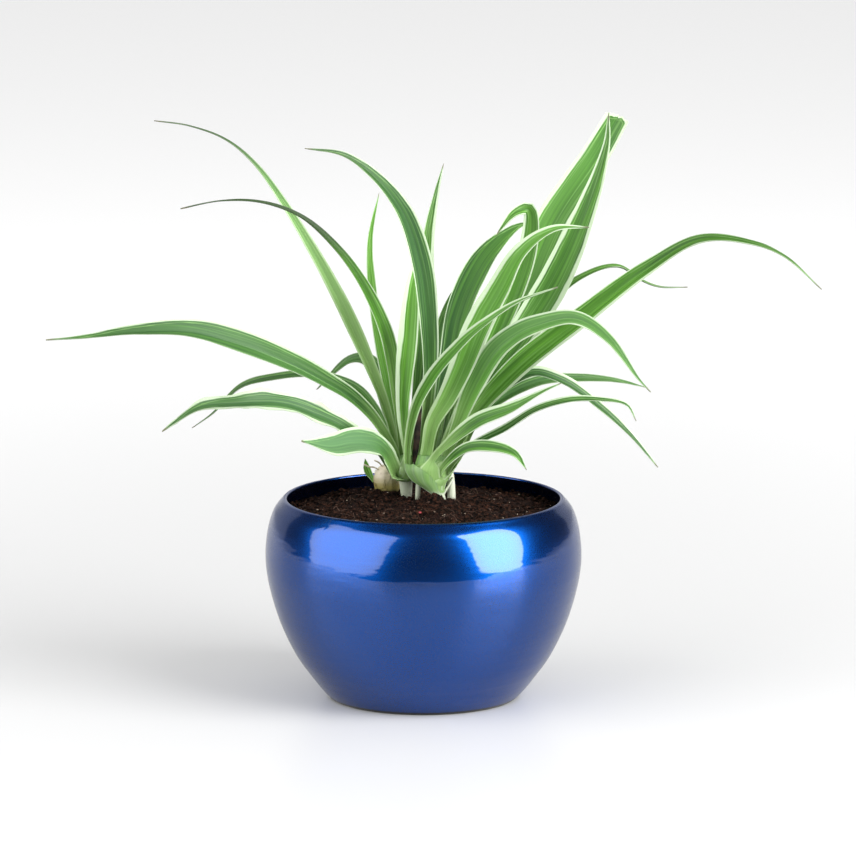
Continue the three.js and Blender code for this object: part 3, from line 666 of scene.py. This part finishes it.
def blade_row(leaf, seed, clasp, centre, tangent, length, start, whole):
    """Across a blade at one place along it: upper and lower points, and what the material reads."""
    along = (length - start) / whole
    up_blade = max(0.0, along)
    depth = max(0.0, start - length)
    face = face_at(leaf["faces"], along)
    normal = face - tangent * face.dot(tangent)
    normal /= np.linalg.norm(normal)
    side = np.cross(tangent, normal)
    wide = width_at(up_blade, leaf)
    half = leaf["half_width"] * wide
    torn = leaf["blunt"] > TORN_BLUNTNESS
    if not torn:
        half *= POINT_WIDTH + (1 - POINT_WIDTH) * smooth_step(1, POINT_FROM, along)
    root_fold, tip_fold = leaf["fold"]
    fold = math.radians(root_fold + (tip_fold - root_fold) * min(1.0, up_blade * 2))
    grip = smooth_step(0, CLASP_REACH, depth)
    round_stem = clasp_around(clasp, centre, side, normal, half, depth) if grip > 0 else None
    # Painted shade that darkens the outer part, and a grey painted sheen for the sky's reflection
    darkest, dim_from = leaf["dim"]
    painted_shade = darkest * smooth_step(dim_from, dim_from + SHADE_REACH, along)
    painted_sheen = leaf["grey"] * smooth_step(*PAINTED_SHEEN_SPAN, along)
    points = []
    for share in ACROSS:
        ripple, frill = edge_ripple(leaf, seed, along, length, share, wide)
        rise = (abs(share) ** KEEL_ROUNDING - PATH_SHARE) * half * math.sin(fold) + ripple
        reach = share * half * math.cos(fold) + math.copysign(abs(frill), share)
        middle = centre + side * reach + normal * rise
        up = normal
        if round_stem:
            wrapped, outward = round_stem(share)
            middle = middle * (1 - grip) + wrapped * grip
            up = normal * (1 - grip) + outward * grip
            up = up / max(np.linalg.norm(up), 0.3)
        from_edge = (1 - abs(share)) * half
        if torn:
            middle = middle + tangent * tear_at(share, along, seed)
            from_edge = min(from_edge, (1 - along) * whole + TORN_MARGIN)
        thick = BLADE_THICKNESS + (BLADE_EDGE_THICKNESS - BLADE_THICKNESS) * share ** 2
        hand = 0 if share < 0 else 1
        margin = leaf["margins"][hand] * (MARGIN_LEAST + (1 - MARGIN_LEAST) * half / leaf["half_width"])
        # Brighter or darker halves: partly the leaf's variegation and partly painted light and shade on the
        # two sides of its fold
        tone = leaf["tone"] + leaf["halves"][hand] * min(1.0, abs(share) * 4)
        points.append((
            middle + up * thick / 2,
            middle - up * thick / 2,
            (share * half, length, seed),
            (from_edge, margin, along * (TORN_ALONG if torn else 1)),
            (tone + leaf["slope"] * (up_blade - 0.5), painted_sheen, leaf["pale"]),
            (painted_shade, depth * (clasp["fade"] if clasp else 1)),
        ))
    return points


def make_blade(leaf, seed, material):
    """A folded, arching blade with a rounded keel, thin edges, a restless margin and a clasping base."""
    clasp = clasp_of(leaf)
    base = clasping_points(clasp, leaf["path"][0]) if clasp else []
    dense = catmull_rom(base + leaf["path"], CURVE_STEPS)
    lengths = arc_lengths(dense)
    start = lengths[CURVE_STEPS * len(base)]
    rows = int(lengths[-1] / STATION_STEP)
    wanted = np.linspace(0, lengths[-1], rows + 1)
    centres = at_lengths(dense, lengths, wanted)
    tangents = unit_rows(np.gradient(centres, axis=0))
    points = []
    for centre, tangent, length in zip(centres, tangents, wanted):
        points += blade_row(leaf, seed, clasp, centre, tangent, length, start, lengths[-1] - start)
    top, under, place, edge, tint, state = zip(*points)
    name = "blade" + leaf["name"][4:]
    blade = add_object(name, top + under, sheet_faces(rows, len(ACROSS)), sharp_degrees=60)
    point_vectors(blade, "blade_place", place * 2)
    point_vectors(blade, "blade_edge", edge * 2)
    point_vectors(blade, "blade_look", tint * 2)
    point_vectors(blade, "blade_state", [(below, *s) for below in (0, 1) for s in state])
    finish_piece(blade, [material], "leaf", leaf["name"])


class Wire:
    """A value, colour or vector between nodes. Arithmetic on it adds the nodes that do the sum."""

    def __init__(self, graph, socket):
        self.graph = graph
        self.socket = socket

    def __add__(self, other):
        return self.graph.math("ADD", self, other)

    def __sub__(self, other):
        return self.graph.math("SUBTRACT", self, other)

    def __mul__(self, other):
        return self.graph.math("MULTIPLY", self, other)

    def __abs__(self):
        return self.graph.math("ABSOLUTE", self)


class Nodes:
    """The nodes of one material, light or world. Each call takes numbers, colours or wires."""

    def __init__(self, owner, output="ShaderNodeOutputMaterial"):
        owner.use_nodes = True
        self.owner = owner
        self.nodes = owner.node_tree.nodes
        self.links = owner.node_tree.links
        self.nodes.clear()
        self.out = self.nodes.new(output)

    def fill(self, made, inputs, output=0):
        """Puts what is given into a node's inputs and returns one of its outputs."""
        for key, value in inputs.items():
            socket = made.inputs[key]
            if isinstance(value, Wire):
                self.links.new(value.socket, socket)
            elif socket.type == "RGBA":
                socket.default_value = (*value, 1.0)
            elif value is not None:
                socket.default_value = value
        return Wire(self, made.outputs[output])

    def add(self, kind, inputs, output=0):
        return self.fill(self.nodes.new("ShaderNode" + kind), inputs, output)

    def parts(self, name):
        """The three numbers of a vector that point_vectors stored."""
        made = self.nodes.new("ShaderNodeAttribute")
        made.attribute_name = name
        return self.split(self.fill(made, {}, "Vector"))

    def place(self):
        return self.add("TexCoord", {}, "Object")

    def mirrored(self):
        return self.add("LightPath", {}, "Is Glossy Ray")

    def split(self, vector):
        made = self.nodes.new("ShaderNodeSeparateXYZ")
        self.fill(made, {0: vector})
        return [Wire(self, output) for output in made.outputs]

    def join(self, x, y, z):
        return self.add("CombineXYZ", {0: x, 1: y, 2: z})

    def math(self, operation, *values):
        made = self.nodes.new("ShaderNodeMath")
        made.operation = operation
        return self.fill(made, dict(enumerate(values)))

    def clamp(self, value):
        return self.math("MINIMUM", 1.0, self.math("MAXIMUM", 0.0, value))

    def ease(self, value, low, high, to_low=0.0, to_high=1.0):
        made = self.nodes.new("ShaderNodeMapRange")
        made.interpolation_type = "SMOOTHSTEP"
        span = {"From Min": low, "From Max": high, "To Min": to_low, "To Max": to_high}
        return self.fill(made, {"Value": value, **span}, "Result")

    def noise(self, vector, scale, detail=2.0, roughness=0.5):
        look = {"Scale": scale, "Detail": detail, "Roughness": roughness}
        return self.add("TexNoise", {"Vector": vector, **look}, "Fac")

    def streaks(self, place, across, along, detail):
        """Noise drawn out lengthwise: how often it changes over a millimetre, across and along."""
        x, y, seed = place
        return self.noise(self.join(x * across, y * along, seed), 1.0, detail)

    def mix(self, share, first, second):
        made = self.nodes.new("ShaderNodeMix")
        made.data_type = "RGBA"
        return self.fill(made, {"Factor": share, 6: first, 7: second}, 2)

    def bump(self, height, distance, base=None):
        inputs = {"Height": height, "Distance": distance, "Strength": 1.0, "Normal": base}
        return self.add("Bump", inputs, "Normal")

    def surface(self, colour, roughness, normal=None, **more):
        inputs = {"Base Color": colour, "Roughness": roughness, "Normal": normal}
        inputs.update({name.replace("_", " "): value for name, value in more.items()})
        return self.add("BsdfPrincipled", inputs)

    def translucent(self, colour, normal):
        return self.add("BsdfTranslucent", {"Color": colour, "Normal": normal})

    def blend(self, share, first, second):
        return self.add("MixShader", {0: share, 1: first, 2: second})

    def glow(self, kind, strength):
        return self.add(kind, {"Color": WHITE, "Strength": strength})

    def done(self, shader):
        self.links.new(shader.socket, self.out.inputs["Surface"])
        return self.owner


def new_nodes(name):
    return Nodes(bpy.data.materials.new(name))


def leaf_material():
    """Streaked green with soft white margins, pale at the root, dry at the tip, duller below."""
    s = new_nodes("variegated_leaf")
    across, length, seed = place = s.parts("blade_place")
    edge, margin, along = s.parts("blade_edge")
    tone, grey, pale = s.parts("blade_look")
    below, dim, depth = s.parts("blade_state")
    fine = s.streaks(place, 2.4, 0.03, 3)
    broad = s.streaks(place, 0.75, 0.01, 1)
    patches = s.streaks(place, 0.12, 0.03, 1)
    # How bright the green is: its tone, partly the leaf's own green and partly painted light and shade, with
    # random streaks
    light = tone * 0.6 + 0.45 + (fine - 0.5) * 0.6 + (broad - 0.5) * 1.1 + (patches - 0.5) * 0.4
    green = s.mix(s.clamp(light), LEAF_DARK, LEAF_BRIGHT)
    # A grey painted sheen, standing for the sky's reflection
    green = s.mix(grey * 0.5, green, LEAF_PAINTED_SHEEN)
    # Veins, light and dark
    veins = s.streaks((across, length, seed + 40), 1.5, 0.008, 2)
    green = s.mix(s.ease(veins, 0.55, 0.68, 0.0, 0.2), green, LEAF_LINE)
    green = s.mix(s.ease(veins, 0.44, 0.33, 0.0, 0.2), green, LEAF_DARK)
    green = s.mix(below * 0.25, green, LEAF_UNDER)
    # The white margin, of uneven width, and a light line within it
    uneven = s.streaks((s.math("SIGN", across), length, seed), 1, 0.05, 3)
    border = margin * (uneven * 0.8 + 0.6) + (fine - 0.5) * 0.7
    inward = edge - border
    in_margin = s.ease(inward, 0.28, -0.28)
    colour = s.mix(in_margin, green, s.mix(fine, MARGIN_CREAM, MARGIN_WHITE))
    line = s.ease(abs(inward - 1.0), 0.28, 0.05)
    colour = s.mix(line * broad * 0.7, colour, LEAF_LINE)
    # Pale at the root, and white where it clasps its stem
    at_root = s.ease(along - fine * 0.12, pale, -0.05)
    root = s.mix(fine, ROOT_GREEN, ROOT_PALE)
    root = s.mix(s.ease(depth, 7, 17), root, ROOT_WHITE)
    colour = s.mix(at_root * 0.8, colour, root)
    rim = s.ease(edge, 0.4, 0.1) * s.ease(depth, 1, 4)
    colour = s.mix(rim * 0.35, colour, MARGIN_WHITE)
    # Painted shade, darker outward, and dry at the tip
    colour = s.mix(dim * 0.85, colour, LEAF_PAINTED_SHADE)
    dry = s.ease(fine * 0.012 + along, 0.978, 0.998)
    colour = s.mix(dry * 0.75, colour, LEAF_DRY)
    normal = s.bump(fine, 0.00007)
    rough = fine * 0.12 + below * 0.12 + 0.38
    skin = s.surface(colour, rough, normal, Specular_IOR_Level=0.3)
    lit_through = s.mix(in_margin * -0.4 + 0.4, colour, LEAF_THROUGH)
    return s.done(s.blend(0.2, skin, s.translucent(lit_through, normal)))


def lacquer_material():
    """Deep blue metallic lacquer with fine flakes, under a clear, mirror-smooth coat."""
    s = new_nodes("blue_lacquer")
    cloud = s.noise(s.place(), 26, 2)
    peel = s.noise(s.place(), 300, 2)
    fleck = s.noise(s.place(), 2600, 1)
    x, y, z = s.split(s.place())
    colour = s.mix(fleck * 0.4 + cloud * 0.4, LACQUER_DEEP, LACQUER_BRIGHT)
    # Painted shade: the edge that the bowl stands on is near-black, as a contact shadow
    colour = s.mix(s.ease(z, 0.0019, 0.0009), colour, POT_FOOT_SHADE)
    rough = cloud * 0.06 + fleck * 0.08 + 0.21
    # Faint rings from the lathe, which ruffle what the coat mirrors
    rings = s.bump(s.noise(s.join(x * 24, y * 24, z * 170), 1.0, 2), LACQUER_RINGS)
    normal = s.bump(peel, 0.00001, base=rings)
    return s.done(s.surface(colour, rough, normal, Metallic=1.0, Coat_Normal=normal, Coat_Weight=0.9,
                            Coat_IOR=1.58, Coat_Roughness=0.025))


def plain_material(name, scale, detail, colours, roughness, depth, span=None):
    """One of the dry stuffs: a noise between two colours, which also roughens the surface."""
    s = new_nodes(name)
    tint = s.noise(s.place(), scale, detail)
    share = s.ease(tint, *span) if span else tint
    return s.done(s.surface(s.mix(share, *colours), roughness, s.bump(tint, depth)))


def soil_materials():
    """Damp coco peat, its dry fibres, its pale specks and one red scrap."""
    s = new_nodes("coco_peat")
    lumps = s.noise(s.place(), 650, 5, 0.7)
    broad = s.noise(s.place(), 90, 2)
    colour = s.mix(s.ease(lumps, 0.43, 0.68), (0.0015, 0.001, 0.0008), (0.06, 0.024, 0.014))
    colour = s.mix(s.ease(broad, 0.4, 0.7) * 0.6, colour, (0.012, 0.006, 0.005))
    return [
        s.done(s.surface(colour, 0.85, s.bump(lumps, 0.0007), Specular_IOR_Level=0.1)),
        plain_material("peat_fibre", 300, 1, ((0.02, 0.008, 0.005), (0.11, 0.052, 0.03)), 0.7, 0.0001),
        plain_material("pale_speck", 500, 1, ((0.14, 0.09, 0.06), (0.5, 0.42, 0.33)), 0.8, 0.0002),
        plain_material("red_scrap", 700, 1, ((0.16, 0.01, 0.015), (0.5, 0.06, 0.07)), 0.6, 0.0002),
    ]


def stalk_material():
    """Fresh stalk and sheath tissue: streaked, green above, white at the free edges and low down."""
    s = new_nodes("fresh_stalk")
    place = s.parts("stalk_place")
    green, rim, soiled = s.parts("stalk_look")
    fine = s.streaks(place, 2.4, 0.08, 3)
    broad = s.streaks(place, 0.5, 0.05, 2)
    pale = s.mix(fine, *STALK_PALE)
    leafy = s.mix(s.ease(broad * 0.5 + fine * 0.5, 0.2, 0.8), *STALK_LEAFY)
    colour = s.mix(s.clamp((broad - 0.5) * 0.6 + green), pale, leafy)
    colour = s.mix(s.ease(rim, 0.8, 0.3), colour, MARGIN_WHITE)
    colour = s.mix(soiled * s.ease(s.noise(s.place(), 500, 3), 0.4, 0.6), colour, DIRT)
    normal = s.bump(fine, 0.00012)
    skin = s.surface(colour, fine * 0.15 + 0.36, normal)
    return s.done(s.blend(0.12, skin, s.translucent(colour, normal)))


def dry_material():
    """Withered brown leaf and stalk."""
    colours = ((0.006, 0.003, 0.002), (0.065, 0.033, 0.02))
    return plain_material("withered_leaf", 240, 4, colours, 0.75, 0.0004, span=(0.35, 0.7))


def bulb_material():
    """An old tuberous base: pinkish white above, tan and olive below, with dry brown skin."""
    s = new_nodes("old_bulb_skin")
    around, height, seed = s.parts("stalk_place")
    spots = s.noise(s.place(), 230, 4)
    rings = s.streaks((around, height, seed), 0.3, 1.1, 3)
    colour = s.mix(s.ease(rings * 3 + height, 90, 97), (0.27, 0.23, 0.07), (0.6, 0.53, 0.4))
    colour = s.mix(s.ease(spots, 0.5, 0.75, 0, 0.8), colour, (0.17, 0.1, 0.035))
    colour = s.mix(s.ease(spots * 2.5 + height, 90, 86.5), colour, (0.03, 0.016, 0.01))
    return s.done(s.surface(colour, 0.42, s.bump(rings, 0.0003)))


class Tissue:
    """Gathers sheets and stalks of one crown, then makes them one mesh."""

    def __init__(self):
        self.vertices, self.faces, self.place, self.look = [], [], [], []

    def stalk(self, stem, high, green, seed, sides=28, rings=26, rib=0.12, shrink=0.0):
        """A closed stalk with fine upright ribs."""
        first = len(self.vertices)
        for row in range(rings + 1):
            height = STALK_FOOT + (high - STALK_FOOT) * row / rings
            ring = ring_at(stem, height)
            for angle in turns(sides):
                off = rib * wobble(*polar(4, angle), height / 14 + seed)
                off -= shrink * smooth_step(*STALK_NECK, height)
                self.vertices.append((*on_ellipse(ring, angle, off=off), height))
                self.place.append((angle * max(ring[2:]), height, seed))
                self.look.append((green(height), NO_EDGE, smooth_step(*SOILED, height)))
        self.faces += closed_rings(first, rings, sides)

    def sheath(self, stem, row, green, seed, crest=2.0, narrow=0.0, across=26, up=18):
        """A sheath leaf wrapped part of the way round. A curled one has a free, white first side."""
        low, high, (start, end), slant, lift, flare, curl = row
        first = len(self.vertices)
        turn = math.radians(abs(end - start))
        fan = turn * max(stem[4][3:])
        for inset in (0.0, SHEATH_THICKNESS):
            for v in np.arange(up + 1) / up:
                for u in np.arange(across + 1) / across:
                    top = high + slant * (2 * u - 1) + crest * (1 - abs(2 * u - 1) ** 1.4)
                    top += 0.9 * wobble(u * 5, 0, seed + 9)
                    height = low + (top - low) * v
                    ring = ring_at(stem, min(height, stem[-2][2]))
                    spread = narrow + (1 - narrow) * smooth_step(0, 0.55, v)
                    angle = math.radians((start + end) / 2 + (end - start) * (u - 0.5) * spread)
                    off = lift + flare * v * v + 0.15 * wobble(u * 5, v * 3, seed)
                    off += curl * smooth_step(0.2, 0, u) * smooth_step(0.1, 0.6, v) - inset
                    rim = u * turn * spread * max(ring[2:]) if curl else NO_EDGE
                    self.vertices.append((*on_ellipse(ring, angle, off=off), height))
                    self.place.append((u * fan, height, seed))
                    self.look.append((green(height), rim, smooth_step(*SOILED, height)))
        self.faces += [tuple(first + corner for corner in face) for face in sheet_faces(up, across + 1)]

    def strand(self, points, radius, green=0.0, sides=8):
        """A thin strand through the points."""
        before = len(self.vertices)
        tube(self.vertices, self.faces, points, radius, sides)
        for vertex in self.vertices[before:]:
            self.place.append((0, vertex[2], 3))
            self.look.append((green, NO_EDGE, 0))

    def curve(self, points, radius, green=0.0):
        self.strand([Vector(p) for p in catmull_rom(points, 6)], radius, green)

    def bundle(self, points, green=0.0):
        """A stalk of a few strands side by side."""
        for shift, radius in STALK_BUNDLE:
            self.curve([[p + q for p, q in zip(point, shift)] for point in points], radius, green)

    def make(self, name, material, slot, node):
        piece = add_object(name, self.vertices, self.faces, sharp_degrees=55)
        point_vectors(piece, "stalk_place", self.place)
        point_vectors(piece, "stalk_look", self.look)
        finish_piece(piece, [material], slot, node)


def make_crowns(material):
    left = Tissue()
    left.stalk(LEFT_STEM, 104, lambda h: smooth_step(90, 97, h) * 0.95, 1.5, shrink=2.3)
    for row, seed in zip(LEFT_SHEATHS, (2.5, 3.5)):
        left.sheath(LEFT_STEM, row, lambda h: 0.2, seed)
    left.make("left_plantlet_base", material, "pale_stalk", "crown_left")
    right = Tissue()
    right.stalk(FUNNEL, 106, lambda h: smooth_step(88, 92, h), 5.5, shrink=2.6)
    right.stalk(WHITE_STEM, 100.5, lambda h: 0.0, 6.5)
    right.stalk(THIN_STEM, 97.5, lambda h: 0.1, 7.5)
    # The sum of a sheath's two heights is the seed of its noise
    for row in RIGHT_SHEATHS:
        right.sheath(FUNNEL, row, lambda h: 0.15 + 0.75 * smooth_step(88, 92, h), row[0] + row[1],
                     crest=3, narrow=0.5, across=40, up=24)
    right.curve(SLANTED_STRAND, SLANTED_RADIUS)
    right.bundle(INNER_STALK, green=0.95)
    right.make("right_plantlet_base", material, "pale_stalk", "crown_right")


def make_dry_stalks(material):
    """The withered flower stalk that stands between the crowns."""
    stalk = Tissue()
    stalk.bundle(DRY_STALK)
    stalk.make("withered_stalks", material, "pale_stalk", "crown_right")


def make_bulb(material):
    """The old base, with strands of dry skin that climb it and two thin roots."""
    draw = random.Random(11)
    bulb = Tissue()
    bulb.stalk(BULB, 98, lambda h: 0, 12.5, sides=44, rings=44, rib=0.5)
    for _ in range(BULB_STRANDS):
        angle = draw.uniform(0, 2 * math.pi)
        low = draw.uniform(84, 92)
        points = []
        for index in range(BULB_STRAND_POINTS):
            height = low + index * draw.uniform(0.5, 1.0)
            ring = ring_at(BULB, min(height, BULB_SHOULDER))
            points.append(Vector((*on_ellipse(ring, angle, off=0.15 + 0.05 * index), height)))
            angle += draw.uniform(-0.12, 0.12)
        bulb.strand(points, draw.uniform(0.1, 0.2), sides=4)
    for points in BULB_ROOTS:
        bulb.curve(points, BULB_ROOT_RADIUS)
    bulb.make("old_tuber", material, "dried_bulb", "old_bulb")


def make_pot(material):
    """The spun bowl: its outer wall, a rounded lip and its inner wall in one skin."""
    outside = catmull_rom(POT_OUTLINE, POT_STEPS, centripetal=False)
    ahead = unit_rows(np.gradient(outside, axis=0))
    inside = outside + np.stack([-ahead[:, 1], ahead[:, 0]], axis=1) * POT_WALL
    inside = inside[:-LIP_INSIDE]
    inside = inside[inside[:, 1] > POT_FLOOR + 1]
    rim_radius, rim_height = POT_OUTLINE[-1]
    lip_centre = np.array([rim_radius - LIP_INSET, rim_height - LIP_RADIUS])
    lip = [lip_centre + np.array(polar(LIP_RADIUS, a)) for a in np.linspace(0.5, math.pi, LIP_POINTS)]
    rows = list(outside[:-LIP_OUTSIDE]) + lip + list(inside[::-1])
    rows.append((inside[0][0] - POT_CORNER, POT_FLOOR))
    vertices = [(*polar(radius, angle), height) for radius, height in rows for angle in turns(POT_SIDES)]
    faces = ring_faces(0, len(rows) - 1, POT_SIDES)
    for row, height in ((0, 0), (len(rows) - 1, POT_FLOOR)):
        centre = len(vertices)
        vertices.append((0, 0, height))
        for a, b, *_ in ring_faces(row * POT_SIDES, 1, POT_SIDES):
            faces.append((centre, a, b) if row else (centre, b, a))
    pot = add_object("bowl_pot", vertices, faces, sharp_degrees=50)
    finish_piece(pot, [material], "lacquer", "pot")


def soil_height(x, y):
    from_mound = math.hypot(x - SOIL_MOUND_CENTRE[0], y - SOIL_MOUND_CENTRE[1]) / SOIL_MOUND_REACH
    mound = math.exp(-from_mound * from_mound) * (SOIL_MOUND_HEIGHT - SOIL_EDGE_HEIGHT)
    lumps = math.sin(0.31 * x + 1.3) * math.cos(0.27 * y) + math.sin(0.57 * x - 0.43 * y)
    grain = sum(high * wobble(x * often, y * often, seed) for high, often, seed in SOIL_GRAIN)
    heaps = 0
    for centre_x, centre_y, reach, high in SOIL_HEAPS:
        heaps += high * math.exp(-((x - centre_x) ** 2 + (y - centre_y) ** 2) / reach ** 2)
    return SOIL_EDGE_HEIGHT + mound + heaps + SOIL_LUMPS * lumps + grain


def icosahedron():
    """Twelve corners at a distance of 1 and twenty triangles, for crumbs."""
    golden = (1 + 5 ** 0.5) / 2
    corners = [
        (-1, golden, 0), (1, golden, 0), (-1, -golden, 0), (1, -golden, 0), (0, -1, golden),
        (0, 1, golden), (0, -1, -golden), (0, 1, -golden), (golden, 0, -1), (golden, 0, 1),
        (-golden, 0, -1), (-golden, 0, 1),
    ]
    triangles = [
        (0, 11, 5), (0, 5, 1), (0, 1, 7), (0, 7, 10), (0, 10, 11), (1, 5, 9), (5, 11, 4), (11, 10, 2),
        (10, 7, 6), (7, 1, 8), (3, 9, 4), (3, 4, 2), (3, 2, 6), (3, 6, 8), (3, 8, 9), (4, 9, 5),
        (2, 4, 11), (6, 2, 10), (8, 6, 7), (9, 8, 1),
    ]
    return [Vector(corner).normalized() for corner in corners], triangles


class Peat:
    """Gathers the soil's faces, each with the number of its material."""

    def __init__(self):
        self.vertices, self.faces, self.kinds = [], [], []
        self.draw = random.Random(7)
        self.corners, self.triangles = icosahedron()

    def mark(self, kind):
        """Gives a material to the faces that were added since the last call."""
        self.kinds += [kind] * (len(self.faces) - len(self.kinds))

    def surface(self):
        """The grained top, and below it a plain body that fills the pot."""
        angles = turns(SOIL_SIDES)
        for ring in range(SOIL_RINGS + 1):
            radius = SOIL_RADIUS * (1 - ring / (SOIL_RINGS + 1))
            for angle in angles:
                x, y = polar(radius, angle)
                self.vertices.append((x, y, soil_height(x, y)))
        self.faces += ring_faces(0, SOIL_RINGS, SOIL_SIDES)
        inmost = SOIL_RINGS * SOIL_SIDES
        centre = len(self.vertices)
        self.vertices.append((0, 0, soil_height(0, 0)))
        foot = len(self.vertices)
        self.vertices += [(*polar(SOIL_FOOT_RADIUS, angle), SOIL_FOOT_HEIGHT) for angle in angles]
        for side in range(SOIL_SIDES):
            after = (side + 1) % SOIL_SIDES
            self.faces.append((inmost + side, inmost + after, centre))
            self.faces.append((foot + side, foot + after, after, side))
        self.faces.append(tuple(reversed(range(foot, foot + SOIL_SIDES))))
        self.mark(PEAT)

    def lump(self, corners):
        """One closed lump from the twelve corners of an icosahedron."""
        first = len(self.vertices)
        self.vertices += corners
        self.faces += [tuple(first + corner for corner in triangle) for triangle in self.triangles]

    def crumb(self):
        draw = self.draw
        radius = (SOIL_RADIUS - CRUMB_WALL_GAP) * math.sqrt(draw.random())
        x, y = polar(radius, draw.uniform(0, 2 * math.pi))
        size = CRUMB_SIZE + CRUMB_GROWTH * draw.random() ** CRUMB_RARITY
        speck = draw.random() < SPECK_SHARE
        if speck:
            size = draw.uniform(*SPECK_SIZE)
        at = Vector((x, y, soil_height(x, y) + size * draw.uniform(*CRUMB_SUNK)))
        stretch = Vector([draw.uniform(*span) for span in (CRUMB_WIDTH, CRUMB_WIDTH, CRUMB_HEIGHT)])
        self.lump([at + corner * stretch * (size * draw.uniform(*CRUMB_CORNERS)) for corner in self.corners])
        reddish = size < REDDISH_BELOW and draw.random() < REDDISH_SHARE
        self.mark(SPECK if speck else FIBRE if reddish else PEAT)

    def fibre(self):
        """A hair-thin fibre that wanders over the surface, with a hump."""
        draw = self.draw
        radius = (SOIL_RADIUS - FIBRE_START_GAP) * math.sqrt(draw.random())
        x, y = polar(radius, draw.uniform(0, 2 * math.pi))
        heading = draw.uniform(0, 2 * math.pi)
        step = draw.uniform(*FIBRE_STEP)
        bend = draw.uniform(-FIBRE_BEND, FIBRE_BEND)
        rise = draw.uniform(*FIBRE_HUMP)
        points = []
        for index in range(FIBRE_POINTS):
            hump = rise * math.sin(math.pi * index / (FIBRE_POINTS - 1))
            points.append(Vector((x, y, soil_height(x, y) + FIBRE_RAISED + hump)))
            heading += bend + draw.uniform(-FIBRE_WANDER, FIBRE_WANDER)
            x, y = x + step * math.cos(heading), y + step * math.sin(heading)
            inward = min(1.0, (SOIL_RADIUS - FIBRE_WALL_GAP) / math.hypot(x, y))
            x, y = x * inward, y * inward
        tube(self.vertices, self.faces, points, draw.uniform(*FIBRE_RADIUS), 4)
        self.mark(FIBRE)

    def scrap(self):
        at = Vector((*RED_SCRAP, soil_height(*RED_SCRAP) + RED_SCRAP_HEIGHT))
        self.lump([at + corner * self.draw.uniform(*RED_SCRAP_SIZE) for corner in self.corners])
        self.mark(SCRAP)


def make_soil(materials):
    """The filled soil: a grained surface, crumbs sunk into it, pale specks and loose fibres."""
    peat = Peat()
    peat.surface()
    for _ in range(CRUMBS):
        peat.crumb()
    for _ in range(FIBRES):
        peat.fibre()
    peat.scrap()
    soil = add_object("peat_surface", peat.vertices, peat.faces, smooth=False)
    soil.data.polygons.foreach_set("material_index", peat.kinds)
    finish_piece(soil, materials, "coco_peat", "soil")


def make_leaves(material):
    for index, leaf in enumerate(LEAVES):
        make_blade(leaf, index + 1, material)


def make_camera():
    camera = bpy.data.objects.new("camera", bpy.data.cameras.new("camera"))
    bpy.context.scene.collection.objects.link(camera)
    back = Vector((0, -math.cos(CAMERA_PITCH), math.sin(CAMERA_PITCH)))
    camera.location = CAMERA_AIM + back * CAMERA_DISTANCE
    camera.rotation_euler = (math.pi / 2 - CAMERA_PITCH, 0, 0)
    camera.data.lens = CAMERA_LENS
    camera.data.sensor_width = 36
    camera.data.clip_end = 100
    bpy.context.scene.camera = camera


def make_stage():
    sides = (-FLOOR_SIDE, FLOOR_SIDE)
    corners = [(x, FLOOR_FRONT) for x in sides] + [(x, FLOOR_BACK) for x in reversed(sides)]
    floor = add_object("floor", [(x / MM, y / MM, 0) for x, y in corners], [(0, 1, 2, 3)], smooth=False)
    s = new_nodes("pale_floor")
    length = s.nodes.new("ShaderNodeVectorMath")
    length.operation = "LENGTH"
    away = s.fill(length, {0: s.place()}, "Value")
    # Lighter away from the object, which evens out the lamps' falloff
    colour = s.mix(s.ease(away, 0.15, 1.3), FLOOR_NEAR, FLOOR_FAR)
    # Darker where it is mirrored in the lacquer
    colour = s.mix(s.mirrored() * FLOOR_MIRRORED, colour, BLACK)
    floor.data.materials.append(s.done(s.surface(colour, 0.33, Specular_IOR_Level=0.3)))


def add_softbox(name, azimuth, width, radiance):
    """A soft-edged area light that looks at the pot."""
    data = bpy.data.lights.new(name, "AREA")
    data.shape = "RECTANGLE"
    data.size, data.size_y = width, SOFTBOX_HEIGHT
    data.energy = radiance * math.pi * width * SOFTBOX_HEIGHT
    s = Nodes(data, "ShaderNodeOutputLight")
    across, up, _ = s.split(s.add("NewGeometry", {}, "Parametric"))
    beside, above = [s.math("POWER", abs(part * 2 - 1), 5) for part in (across, up)]
    s.done(s.glow("Emission", s.ease(beside + above, 1.0, 0.62)))
    lamp = bpy.data.objects.new(name, data)
    right, front = math.sin(math.radians(azimuth)), math.cos(math.radians(azimuth))
    flat = math.cos(SOFTBOX_ELEVATION)
    away = Vector((right * flat, -front * flat, math.sin(SOFTBOX_ELEVATION)))
    lamp.location = SOFTBOX_TARGET + away * SOFTBOX_DISTANCE
    lamp.rotation_euler = (-away).to_track_quat("-Z", "Y").to_euler()
    bpy.context.scene.collection.objects.link(lamp)


def make_world():
    """Even pale light. What shines sees a darker room in front and a pale one behind."""
    world = bpy.data.worlds.new("studio")
    bpy.context.scene.world = world
    s = Nodes(world, "ShaderNodeOutputWorld")
    right, back, _ = s.split(s.add("TexCoord", {}, "Generated"))
    shine = s.ease(back - right * 0.12, 0.64, 0.69, ROOM_FRONT, ROOM_BACK)
    aside = s.ease(abs(right), 0.2, 0.45, 1.0, ROOM_ASIDE)
    s.done(s.blend(s.mirrored(), s.glow("Background", ROOM_PLAIN), s.glow("Background", shine * aside)))


def make_lights():
    for name, (azimuth, width, radiance) in SOFTBOXES.items():
        add_softbox(name, azimuth, width, radiance)
    make_world()
    bpy.context.scene.view_settings.view_transform = "Standard"


make_camera()
make_stage()
make_lights()
make_pot(lacquer_material())
make_soil(soil_materials())
make_crowns(stalk_material())
make_dry_stalks(dry_material())
make_bulb(bulb_material())
make_leaves(leaf_material())
